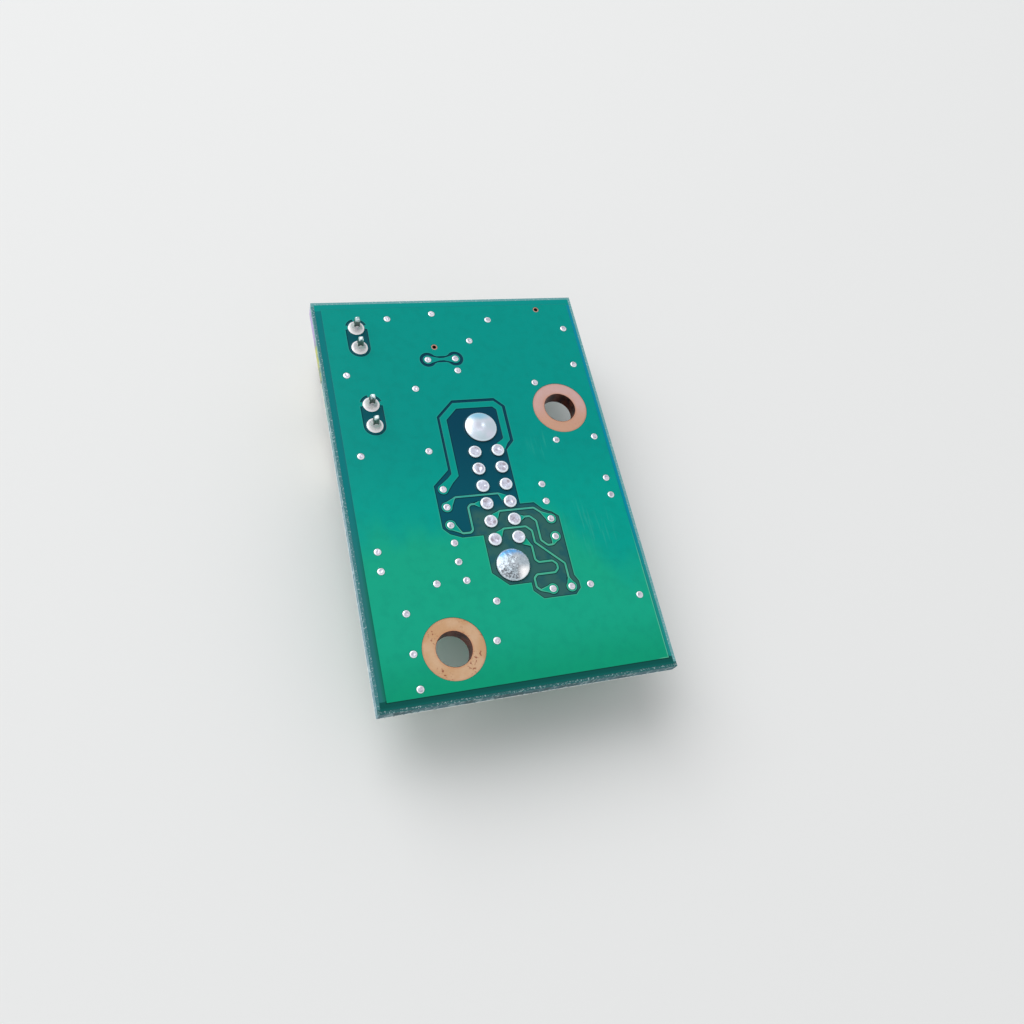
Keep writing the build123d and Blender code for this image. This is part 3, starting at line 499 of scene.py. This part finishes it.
# Shoulders: where the mask steps down off each copper outline it thins to a pale line with a
# painted highlight at the top of the step, and pools in a dark line at its foot, darkened further
# as painted shade. Beside the solder joints it has neither.
low_points, low_edges = level_edges("solder_side_mask", mask_over_laminate)
at_rim = np.abs(low_points[:, 0]) > 14.6 * MM
at_rim |= np.abs(low_points[:, 1]) > 22.1 * MM
shoulder_edges = low_edges[~(at_rim[low_edges[:, 0]] & at_rim[low_edges[:, 1]])]
shoulder_rows = [-0.088, -0.064, -0.035, 0.0, 0.012, 0.028, 0.05, 0.09, 0.14]
shoulder_heights = [9.6492, 9.6522, 9.6532, 9.6518, 9.6475, 9.635, 9.624, 9.6178, 9.6142]
grid, faces, across = edge_strip(low_points, shoulder_edges, shoulder_rows, shoulder_heights)
shoulder_places = low_points[np.unique(shoulder_edges)]
track_places = plan_places([n for n in nodes if n.startswith("signal_track")])
on_track = gap_between(shoulder_places, track_places) < 0.05 * MM
joint_nodes = ["contact_solder_joints", "upper_post_solder", "lower_post_solder"]
joint_nodes += ["upper_header_solder", "lower_header_solder"]
beside_joint = gap_between(shoulder_places, plan_places(joint_nodes)) < 0.14 * MM
beside_via = gap_between(shoulder_places, plan_places(["signal_via_fills"])) < 0.2 * MM
via_share = 0.55
marks = {"on_track": on_track, "beside_joint": np.maximum(beside_joint, beside_via * via_share)}
marks = {name: np.broadcast_to(mark[:, None], across.shape) for name, mark in marks.items()}
marks["across"] = across

# Mask shoulder: a thin pale line of thin mask and painted highlight, brightest on the tracks and
# along the front of the right edge, then a fine dark one of pooled lacquer and painted shade, both
# soft-edged
shoulder_material, tree, place, (x, y, z) = new_material("mask_shoulder")
over_copper, over_laminate = mask_tones(tree, place, x, y)
step, track, joint = [
    add_node(tree, "Attribute", attribute_name=name).node.outputs["Fac"]
    for name in ("across", "on_track", "beside_joint")
]
# Painted highlight: the pale line at the top of the step, brightest on the tracks and towards the
# front
pour_highlight = lay_over(tree, "#3a9a92", "#62bf9f", y, 0.0, -7 * MM)
track_highlight = lay_over(tree, "#58aea3", "#7cc5ab", y, 0.0, -4 * MM)
pale = add_node(tree, "Mix", {0: track, 6: pour_highlight, 7: track_highlight}, data_type="RGBA")
outer = outside(tree, x, y, 13.5 * MM, 21.3 * MM)
inner_strength = add_node(
    tree, "MapRange", {0: outer, 1: 0.0, 2: 1.0, 3: 0.32, 4: 0.0}, interpolation_type="SMOOTHSTEP"
)
# Painted highlight along the front of the pour's right edge
front_right_highlight = overlap(tree, (x, 13.0 * MM, 14.0 * MM), (y, -6 * MM, -12 * MM))
outer_strength = add_node(tree, "Math", {0: outer, 1: front_right_highlight}, operation="MULTIPLY")
outer_strength = add_node(tree, "Math", {0: outer_strength, 1: 0.9}, operation="MULTIPLY")
strength = add_node(tree, "Math", {0: inner_strength, 1: outer_strength}, operation="MAXIMUM")
track_gain = add_node(
    tree, "MapRange", {0: track, 1: 0.0, 2: 1.0, 3: 1.0, 4: 1.6}, interpolation_type="SMOOTHSTEP"
)
off_joint = add_node(tree, "Math", {0: 1.0, 1: joint}, operation="SUBTRACT")
patchy = add_node(tree, "TexNoise", {"Vector": place, "Scale": noise_scale(0.5), "Detail": 2.0})
patchy = add_node(
    tree, "MapRange", {0: patchy, 1: 0.3, 2: 0.6, 3: 0.6, 4: 1.0}, interpolation_type="SMOOTHSTEP"
)
highlight_share = overlap(tree, (step, 0.0, 0.14), (step, 0.46, 0.34))
for factor in (strength, track_gain, off_joint, patchy):
    highlight_share = add_node(tree, "Math", {0: highlight_share, 1: factor}, operation="MULTIPLY")
upper_tone = add_node(tree, "Mix", {0: highlight_share, 6: over_copper, 7: pale}, data_type="RGBA")
# Pooled lacquer at the foot, darkened further as painted shade
pooled_foot_shade = lay_over(tree, "#012c3b", "#0a3833", y, 0.0, -7 * MM)
foot_share = add_node(
    tree, "MapRange", {0: step, 1: 1.0, 2: 0.78}, interpolation_type="SMOOTHSTEP"
)
off_front = add_node(tree, "Math", {0: y, 1: -21.3 * MM}, operation="GREATER_THAN")
beside_margin = add_node(tree, "Math", {0: outer, 1: off_front}, operation="MULTIPLY")
foot_strength = add_node(
    tree,
    "MapRange",
    {0: beside_margin, 1: 0.0, 2: 1.0, 3: 0.85, 4: 0.2},
    interpolation_type="SMOOTHSTEP",
)
foot_share = add_node(tree, "Math", {0: foot_share, 1: foot_strength}, operation="MULTIPLY")
lower_tone = add_node(tree, "Mix", {0: foot_share, 6: over_laminate, 7: pooled_foot_shade}, data_type="RGBA")
tone = lay_over(tree, upper_tone, lower_tone, step, 0.44, 0.54)
tone = lay_over(tree, tone, over_laminate, joint, 0.6, 0.95, share=0.9)
finish_mask(tree, place, tone)
add_piece("solder_side_mask_shoulders", grid, faces, shoulder_material, marks)

# Lips: round each opening in the pour the mask rises a little, then turns down to the copper. They
# keep clear of the shoulders.
top_points, top_edges = level_edges("solder_side_mask", mask_over_copper)
free = gap_between(top_points, shoulder_places) > 0.1 * MM
lip_edges = top_edges[free[top_edges[:, 0]] & free[top_edges[:, 1]]]
lip_rows = [-0.03, -0.012, 0.006, 0.03, 0.06, 0.1]
lip_heights = [9.63, 9.641, 9.6495, 9.6525, 9.6522, 9.6492]
grid, faces, across = edge_strip(top_points, lip_edges, lip_rows, lip_heights)

# Mask lip: the colour of the mask beside it, with painted shade at the edge where it turns down
lip_material, tree, place, (x, y, z) = new_material("mask_lip")
over_copper, _ = mask_tones(tree, place, x, y)
step = add_node(tree, "Attribute", attribute_name="across").node.outputs["Fac"]
finish_mask(tree, place, lay_over(tree, over_copper, "#045a55", step, 0.75, 0.3, share=0.8))
add_piece("solder_side_mask_lips", grid, faces, lip_material, {"across": across})


# ---- Solder ----
# Tin-lead solder, laid by a wave over the face. It froze as low buttons on the contacts, caps on
# the vias, cones round the header pins and two broad domes over the posts, white and grained.
copper_top = 9.625 * MM
under_copper = 8.025 * MM


def via_centers(name):
    """Centres of a node's vias: its points are grouped where they lie within one cap's width."""
    cap_width = 0.9 * MM
    flat = mesh_points(name)[:, :2].astype(np.float64)
    centers = []
    while len(flat):
        near = np.hypot(*(flat - flat[0]).T) < cap_width
        centers.append((flat[near].min(axis=0) + flat[near].max(axis=0)) / 2)
        flat = flat[~near]
    return np.array(centers)


def copies_at(centers, one):
    """A grid of points copied to each centre: the centre is added to the points."""
    spread = np.concatenate([centers, np.zeros((len(centers), 1))], axis=1)
    return one[None] + spread[:, None, None, :]


def ring_faces(copies, rings, columns):
    """Quads between the rings of each copy, wound so that they face outwards."""
    index = np.arange(rings * columns).reshape(rings, columns)
    following = np.roll(index, -1, axis=1)
    quads = np.stack([index[:-1], following[:-1], following[1:], index[1:]], axis=-1).reshape(-1, 4)
    offset = (np.arange(copies) * rings * columns)[:, None, None]
    return (quads[None] + offset).reshape(-1, 4)


def lumps(x, y, size, count, seed):
    """A smooth random height: the sum of waves with random directions, phases and lengths near a
    size, over the root of their count."""
    random = np.random.default_rng(seed)
    total = np.zeros_like(x)
    for _ in range(count):
        direction, phase = random.uniform(0, 2 * np.pi, 2)
        length = size * random.uniform(0.6, 1.6)
        way = x * np.cos(direction) + y * np.sin(direction)
        total += np.sin(2 * np.pi * way / length + phase)
    return total / np.sqrt(count)


def solder_piece(
    name, replaced, centers, barrel, radius, dome, texture, material, columns, rings=18
):
    """Solder joints: a barrel through the board, a flat base on the pad and a dome above it.

    The surface is turned about each centre, ring by ring from pole to pole, with its rings closer
    towards the rim. dome(u) gives the height at the share u of the radius, and texture(x, y, u, n)
    what joint n adds to it, which fades out at the rim."""
    u = np.sin(np.linspace(1, 0.001, rings) * np.pi / 2)
    radii = np.concatenate([[0.0, barrel, barrel], radius * u])
    heights = np.concatenate([[under_copper, under_copper, copper_top], copper_top + dome(u)])
    angle = np.linspace(0, 2 * np.pi, columns, endpoint=False)
    ring_x, ring_y = radii[:, None] * np.cos(angle), radii[:, None] * np.sin(angle)
    ring_z = np.broadcast_to(heights[:, None], ring_x.shape)
    grid = copies_at(centers, np.stack([ring_x, ring_y, ring_z], axis=-1))
    local = grid[..., :2] - centers[:, None, None, :]
    from_center = np.concatenate([[0, 0, 0], u])[None, :, None]
    for n in range(len(centers)):
        bumps = texture(local[n, 3:, :, 0], local[n, 3:, :, 1], u[:, None], n)
        grid[n, 3:, :, 2] += bumps * (1 - u[:, None] ** 8)
    faces = ring_faces(len(centers), len(radii), columns)
    marks = {"from_center": np.broadcast_to(from_center, grid.shape[:3])}
    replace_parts(add_piece(name, grid, faces, material, marks), replaced)


def solder_material(name, pale, dark, rim_highlight, flank_shade, flank_shade_start, roughness, metallic=0.75):
    """Frozen solder: a pale metal skin, mottled, with a painted highlight near the rim and painted
    shade on the steep flank.
    """
    material, tree, place, _ = new_material(name)
    radius = add_node(tree, "Attribute", attribute_name="from_center").node.outputs["Fac"]
    spots = add_node(tree, "TexNoise", {"Vector": place, "Scale": noise_scale(0.22), "Detail": 3.0})
    skin = add_node(tree, "TexNoise", {"Vector": place, "Scale": noise_scale(0.06), "Detail": 3.0})
    tone = lay_over(tree, pale, dark, spots, 0.42, 0.66)
    tone = lay_over(tree, tone, rim_highlight, radius, 0.6, 0.86, share=0.9)
    tone = lay_over(tree, tone, flank_shade, radius, flank_shade_start, 0.995)
    uneven = add_node(
        tree,
        "MapRange",
        {0: spots, 1: 0.3, 2: 0.7, 3: roughness - 0.06, 4: roughness + 0.08},
        interpolation_type="SMOOTHSTEP",
    )
    finish(tree, tone, uneven, metallic=metallic, height=skin, depth=0.012 * MM)
    return material


# Contact buttons: two columns of six flat-topped beads, each with a shallow dimple off its middle.
# Grained solder: greyish white with a lilac cast, satin, ringed by a painted highlight near the rim
# and a dark edge of painted shade.
connector_x, connector_y = 0.59 * MM, -2.02 * MM
contact_rows = connector_y + (2.5 - np.arange(6)) * 2.0 * MM
contact_columns = connector_x + np.array([-1.25, 1.25]) * MM


def button_skin(x, y, u, n):
    """Broad and fine lumps, less a bell-shaped dimple whose place differs from joint to joint."""
    off_middle = x - 0.1 * MM * np.sin(n)
    dimple = 0.03 * MM * np.exp(-(off_middle**2 + y**2) / (0.2 * MM) ** 2)
    broad = 0.012 * MM * lumps(x, y, 0.7 * MM, 5, 40 + n)
    return broad + 0.004 * MM * lumps(x, y, 0.2 * MM, 6, 80 + n) - dimple


solder_piece(
    "contact_buttons",
    "contact_solder_joints",
    np.array([(x, y) for x in contact_columns for y in contact_rows]),
    barrel=0.45 * MM,
    radius=0.72 * MM,
    dome=lambda u: 0.27 * MM * (1 - u**14) ** 0.5,
    texture=button_skin,
    material=solder_material(
        "grained_solder", "#c5c9da", "#9c949f", "#e3eef5", "#2c4c58", 0.93, 0.3
    ),
    columns=40,
    rings=22,
)

# Via caps: small low domes, sunk a little in the middle. Via solder: as grained solder, but a
# little duller, with a painted highlight near the rim and a painted green edge that stands for
# shade and for the mask that it mirrors.
cap_material = solder_material("via_solder", "#c6c4d0", "#9d99a8", "#e3ecf1", "#1f5f5b", 0.9, 0.32)


def cap_skin(x, y, u, n):
    """Fine lumps, less a hollow that deepens with the square of the way in."""
    return 0.006 * MM * lumps(x, y, 0.4 * MM, 4, 140 + n) - 0.025 * MM * (1 - u) ** 2


for kind in ("stitching_via", "signal_via"):
    solder_piece(
        kind + "_caps",
        kind + "_fills",
        via_centers(kind + "_fills"),
        barrel=0.2 * MM,
        radius=0.38 * MM,
        dome=lambda u: 0.1 * MM * (1 - u**4) ** 0.6,
        texture=cap_skin,
        material=cap_material,
        columns=24,
        rings=10,
    )

# Cones of the header pins: each climbs its pin from a wide low foot. Cone solder: whiter and less
# metallic than the rest, a painted reflection of the pale surround, with a painted highlight near
# the rim and a green-grey painted shade on the flank.
cone_material = solder_material(
    "cone_solder", "#e2e0df", "#cbc6cd", "#efecef", "#5f8f8c", 0.95, 0.3, metallic=0.25
)
pin_offsets = np.array([(0, 1.25), (0, -1.25)]) * MM
header_pins = {
    "upper_header": np.array((-10.6, 17.8)) * MM + pin_offsets,
    "lower_header": np.array((-10.5, 8.2)) * MM + pin_offsets,
}
for seed, (header, centers) in zip((200, 210), header_pins.items()):
    solder_piece(
        header + "_cones",
        header + "_solder",
        centers,
        barrel=0.5 * MM,
        radius=0.9 * MM,
        dome=lambda u: 0.12 * MM * (1 - u**6) + 0.7 * MM * np.clip((0.95 - u) / 0.6, 0, 1) ** 2.4,
        texture=lambda x, y, u, n: 0.004 * MM * lumps(x, y, 0.6 * MM, 5, seed + n),
        material=cone_material,
        columns=48,
        rings=30,
    )

# Domes of the two posts: the upper one smooth with a dimple, the lower one frosty with crystals
post_x, upper_post_y, lower_post_y = 0.59 * MM, 5.88 * MM, -9.92 * MM


def post_material(name, center_y, pale, cool, blue_reflection_tint, frosty):
    """Post solder: white metal with a painted blue reflection at its far side, a painted highlight
    ring and painted shade on the flank at the rim, and darkly pitted where it is frosty, with a
    painted highlight beside the pits.
    """
    material, tree, place, (x, y, z) = new_material(name)
    radius = add_node(tree, "Attribute", attribute_name="from_center").node.outputs["Fac"]
    broad = add_node(tree, "TexNoise", {"Vector": place, "Scale": noise_scale(0.7), "Detail": 2.0})
    fine = add_node(tree, "TexNoise", {"Vector": place, "Scale": noise_scale(0.09), "Detail": 3.0})
    tone = lay_over(tree, pale, cool, broad, 0.35, 0.65)
    lifted = add_node(tree, "Math", {0: broad, 1: 1.0 * MM}, operation="MULTIPLY")
    upward = add_node(tree, "Math", {0: y, 1: lifted}, operation="ADD")
    reflection_start, reflection_end = center_y + 1.1 * MM, center_y + 1.9 * MM
    tone = lay_over(tree, tone, blue_reflection_tint, upward, reflection_start, reflection_end, share=0.95)
    if frosty:
        front, back = center_y - 0.9 * MM, center_y + 0.5 * MM
        front_left = overlap(tree, (y, back, front), (x, 1.9 * MM, 0.4 * MM))
        pits = add_node(
            tree, "MapRange", {0: fine, 1: 0.44, 2: 0.6}, interpolation_type="SMOOTHSTEP"
        )
        pits = add_node(tree, "Math", {0: pits, 1: front_left}, operation="MULTIPLY")
        tone = add_node(tree, "Mix", {0: pits, 6: tone, 7: "#4b4c52"}, data_type="RGBA")
        tone = lay_over(tree, tone, "#7f848e", fine, 0.54, 0.64, share=0.6)
        # Painted highlight: white at the front right of the frosted dome
        front_right_highlight = overlap(tree, (x, 0.6 * MM, 1.5 * MM), (y, center_y, front))
        tone = add_node(tree, "Mix", {0: front_right_highlight, 6: tone, 7: "#ffffff"}, data_type="RGBA")
    # Painted light at the rim: a pale ring of painted highlight, then a dark flank of painted shade
    tone = lay_over(tree, tone, "#dff0fa", radius, 0.84, 0.93, share=0.45)
    tone = lay_over(tree, tone, "#1c3d47", radius, 0.945, 0.985)
    roughness, depth = (0.36, 0.02 * MM) if frosty else (0.3, 0.006 * MM)
    finish(tree, tone, roughness, metallic=0.7, height=fine, depth=depth, strength=0.6)
    return material


def smooth_skin(x, y, u, n):
    """A broad slight unevenness, less a bell-shaped dimple near the middle."""
    dimple = 0.06 * MM * np.exp(-(x**2 + (y - 0.1 * MM) ** 2) / (0.34 * MM) ** 2)
    return 0.01 * MM * lumps(x, y, 1.6 * MM, 5, 300) - dimple


def crystals(x, y, size, extent, seed):
    """A height of small tilted facets: each point takes the tilt of its nearest random seed."""
    random = np.random.default_rng(seed)
    count = int((2 * extent / size) ** 2)
    seeds = random.uniform(-extent, extent, (count, 2))
    tilts = random.normal(0, 1, (count, 2))
    flat = np.stack([x.ravel(), y.ravel()], axis=1)
    nearest = np.argmin(((flat[:, None, :] - seeds[None]) ** 2).sum(axis=2), axis=1)
    return ((flat - seeds[nearest]) / size * tilts[nearest]).sum(axis=1).reshape(x.shape)


def frost(x, y, u, n):
    """Frosty skin: small tilted crystal facets over a coarser unevenness."""
    facets = crystals(x, y, 0.16 * MM, 1.8 * MM, 401)
    return 0.012 * MM * facets + 0.02 * MM * lumps(x, y, 0.9 * MM, 6, 400)


# Smooth post solder: a clean satin mirror of the pale surround, with a painted cool blue reflection
# along its far edge. Frosted post solder: duller, with grey grains, dark pits at the front left and
# a painted white highlight beside them.
smooth_material = post_material(
    "smooth_post_solder", upper_post_y, "#c6cbd9", "#b7c7d1", "#86bdd6", frosty=False
)
frosted_material = post_material(
    "frosted_post_solder", lower_post_y, "#b3bcc4", "#a7b5be", "#4f9ddc", frosty=True
)
for post, center_y, crown, skin, material, columns, rings in (
    ("upper_post", upper_post_y, 0.2 * MM, smooth_skin, smooth_material, 96, 60),
    ("lower_post", lower_post_y, 0.36 * MM, frost, frosted_material, 128, 80),
):
    solder_piece(
        post + "_dome",
        post + "_solder",
        np.array([(post_x, center_y)]),
        barrel=1.2 * MM,
        radius=1.78 * MM,
        dome=lambda u: 0.24 * MM * (1 - u**16) ** 0.5 + crown * (1 - u**2),
        texture=skin,
        material=material,
        columns=columns,
        rings=rings,
    )


# ---- Contacts, posts and pins ----
# Drawn brass wire and stamped strip, tin plated. The header pins are square wires that stand out of
# their solder, with a painted highlight at their rounded, cut tips only.


def drawn_metal(name):
    """A new material with the drawing lines of wire, as fine noise pulled out along the height."""
    material, tree, place, (x, y, z) = new_material(name)
    pulled = add_node(tree, "Mapping", {"Vector": place, "Scale": (1, 1, 0.08)})
    lines = {"Vector": pulled, "Scale": noise_scale(0.05), "Detail": 2.0}
    return material, tree, place, z, add_node(tree, "TexNoise", lines)


# Matte tin plate: satin mid grey, streaked by its drawing lines
tin_material, tree, place, z, drawn = drawn_metal("matte_tin_plate")
tone = lay_over(tree, "#bfc1c3", "#a3a6a9", drawn, 0.35, 0.65)
finish(tree, tone, 0.36, metallic=1.0, height=drawn, depth=0.006 * MM)
tin_nodes = ["connector_contacts", "upper_post", "lower_post", "edge_connector_contacts"]
dress(tin_nodes + ["left_hold_down_tab", "right_hold_down_tab"], tin_material)

# Tinned header pin: plain tin below the board, painted shade where it leaves the solder, grey-green
# above that as a painted reflection of the board, and a near white painted highlight at the tip,
# broken by small dull patches
pin_material, tree, place, z, drawn = drawn_metal("tinned_header_pin")
body = lay_over(tree, "#8a9892", "#66736d", drawn, 0.35, 0.65)
body = lay_over(tree, "#2f3b34", body, z, 10.25 * MM, 10.8 * MM)
dull = add_node(tree, "TexNoise", {"Vector": place, "Scale": noise_scale(0.22), "Detail": 1.0})
tip_highlight = lay_over(tree, "#e6f5f7", "#6d8e95", dull, 0.5, 0.64)
tone = lay_over(tree, body, tip_highlight, z, 11.08 * MM, 11.22 * MM)
tone = lay_over(tree, tone, "#b4b7b9", z, 8.0 * MM, 7.6 * MM)
finish(tree, tone, 0.36, metallic=0.45, height=drawn, depth=0.006 * MM)
pin_width = 0.6 * MM
pin_columns = 24
pin_levels = [2.0, 2.0, 2.15, 2.35, 7.0, 10.6, 10.95, 11.15, 11.28, 11.36, 11.41, 11.425, 11.425]
pin_widths = [0.0, 0.45, 0.8, 1.0, 1.0, 1.0, 0.96, 0.88, 0.77, 0.64, 0.48, 0.36, 0.0]


def square_pins(centers):
    """Square wires: rings at rising levels, each a share of the width, closed at both ends.

    A ring is a circle whose cosine and sine are raised to a low power, which squares it."""
    squareness = 2 / 7
    angle = np.linspace(0, 2 * np.pi, pin_columns, endpoint=False) + np.pi / pin_columns
    ring = np.stack([np.cos(angle), np.sin(angle)], axis=-1)
    ring = np.sign(ring) * np.abs(ring) ** squareness
    sides = ring * (np.array(pin_widths) * pin_width / 2)[:, None, None]
    level = np.array([level * MM for level in pin_levels])[:, None, None]
    level = np.broadcast_to(level, (len(pin_levels), pin_columns, 1))
    return copies_at(centers, np.concatenate([sides, level], axis=-1))


for header, centers in header_pins.items():
    faces = ring_faces(len(centers), len(pin_levels), pin_columns)
    pins = square_pins(centers)
    piece = add_piece(header + "_wire_pins", pins, faces, pin_material)
    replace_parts(piece, header + "_pins")


# ---- Housings ----
# Injection-moulded nylon, satin from the spark-eroded mould: black with glass fibre for the two-row
# connector, natural off-white for the headers and the edge connector.


def nylon(name, tone, cloud_tone, roughness):
    """Moulded nylon: faint flow clouds and the fine pits of a spark-eroded mould."""
    material, tree, place, _ = new_material(name)
    clouds = add_node(tree, "TexNoise", {"Vector": place, "Scale": noise_scale(1.5), "Detail": 3.0})
    pits = add_node(tree, "TexNoise", {"Vector": place, "Scale": noise_scale(0.06), "Detail": 2.0})
    uneven = add_node(
        tree,
        "MapRange",
        {0: clouds, 1: 0.3, 2: 0.7, 3: roughness - 0.04, 4: roughness + 0.06},
        interpolation_type="SMOOTHSTEP",
    )
    tone = lay_over(tree, tone, cloud_tone, clouds, 0.4, 0.7)
    finish(tree, tone, uneven, specular=0.4, height=pits, depth=0.012 * MM)
    return material


# Black glass-filled nylon: soft black, barely clouded. Natural nylon: warm off-white and a little
# glossier.
dress(["connector_housing"], nylon("black_glass_filled_nylon", "#1d1e20", "#26282a", 0.48))
white_nodes = ["upper_header_housing", "lower_header_housing", "edge_connector_housing"]
dress(white_nodes, nylon("natural_nylon", "#e6e2d3", "#dcd7c6", 0.42))


# ---- Inspection paint ----
# Two strokes of marker paint on the sawn left side, pink and then yellow: thin, so the cut glass
# shows through where a stroke ran dry.


def marker_paint(name, tone, worn_tone, dry_end, wet_end):
    """Marker paint over rough glass: the stroke thins out towards its dry end."""
    material, tree, place, (x, y, z) = new_material(name)
    brushed = add_node(tree, "Mapping", {"Vector": place, "Scale": (1, 0.6, 1)})
    patches = add_node(
        tree, "TexNoise", {"Vector": brushed, "Scale": noise_scale(0.25), "Detail": 3.0}
    )
    dry = add_node(
        tree, "MapRange", {0: y, 1: wet_end, 2: dry_end}, interpolation_type="SMOOTHSTEP"
    )
    dry = add_node(tree, "Math", {0: dry, 1: 0.22}, operation="MULTIPLY")
    worn = add_node(tree, "Math", {0: patches, 1: dry}, operation="ADD")
    tone = lay_over(tree, tone, worn_tone, worn, 0.56, 0.72)
    finish(tree, tone, 0.5, height=patches, depth=0.04 * MM, strength=0.6)
    return material


# Pink and yellow marker paint: soft pastel, half matt, rubbed through to grey in patches
pink_paint = marker_paint("pink_marker_paint", "#c4b0e2", "#a9a0bd", 17.5 * MM, 19.5 * MM)
yellow_paint = marker_paint("yellow_marker_paint", "#ccd06f", "#93a391", 13.3 * MM, 16.5 * MM)
dress(["pink_edge_mark"], pink_paint)
dress(["yellow_edge_mark"], yellow_paint)


# ---- Floor, light and camera ----
# A pale paper floor, a broad soft light above the far left corner and an even white surround, which
# is full white to the camera and to reflections and dimmer as light on the board.
floor_half = 1.5
floor_height = -0.02 * MM
corners = np.array([(-1, -1), (1, -1), (1, 1), (-1, 1)]) * floor_half
floor_mesh = bpy.data.meshes.new("floor")
floor_mesh.from_pydata([(x, y, floor_height) for x, y in corners], [], [(0, 1, 2, 3)])
floor = bpy.data.objects.new("floor", floor_mesh)
bpy.context.scene.collection.objects.link(floor)

# Pale paper: matt and just off white, so that the shadow stays soft
floor_material, tree, place, _ = new_material("pale_paper")
finish(tree, "#eceded", 0.9, specular=0.1)
floor_mesh.materials.append(floor_material)

world = bpy.data.worlds.new("studio")
bpy.context.scene.world = world
world.use_nodes = True
tree = world.node_tree
tree.nodes.clear()
rays = add_node(tree, "LightPath").node.outputs
seen = rays["Is Camera Ray"]
for kind in ("Is Glossy Ray", "Is Transmission Ray"):
    seen = add_node(tree, "Math", {0: seen, 1: rays[kind]}, operation="ADD")
strength = add_node(tree, "MapRange", {0: seen, 1: 0.0, 2: 1.0, 3: 0.55, 4: 1.0})
sky = add_node(tree, "Background", {"Color": (1, 1, 1, 1), "Strength": strength})
add_node(tree, "OutputWorld", {"Surface": sky})

key_data = bpy.data.lights.new("key", "AREA")
key_data.shape = "SQUARE"
key_data.size = 0.9
key_data.energy = 7.4
key = bpy.data.objects.new("key", key_data)
key.location = (-0.4, 0.55, 0.8)
board_middle = Vector((0, 0, 0.009))
key.rotation_euler = (board_middle - key.location).to_track_quat("-Z", "Y").to_euler()
bpy.context.scene.collection.objects.link(key)

# The camera's pixel grid starts at pixel corners, so its shift of half a pixel meets pixel centres
half_pixel = 0.5 / 1024
camera_data = bpy.data.cameras.new("camera")
camera_data.sensor_width = 36.0
camera_data.lens = 32.214
camera_data.clip_start = 0.001
camera_data.shift_x = -half_pixel
camera_data.shift_y = half_pixel
camera = bpy.data.objects.new("camera", camera_data)
camera_place = Matrix.Translation((-27.699 * MM, -39.556 * MM, 91.089 * MM))
forward = Vector((0.3158165, 0.3773980, -0.8705347))
up = Vector((0.0945858, 0.9003989, 0.4246591))
camera_turn = Matrix((forward.cross(up), up, -forward)).transposed().to_4x4()
camera.matrix_world = camera_place @ camera_turn
bpy.context.scene.collection.objects.link(camera)
bpy.context.scene.camera = camera
bpy.context.scene.view_settings.view_transform = "Standard"
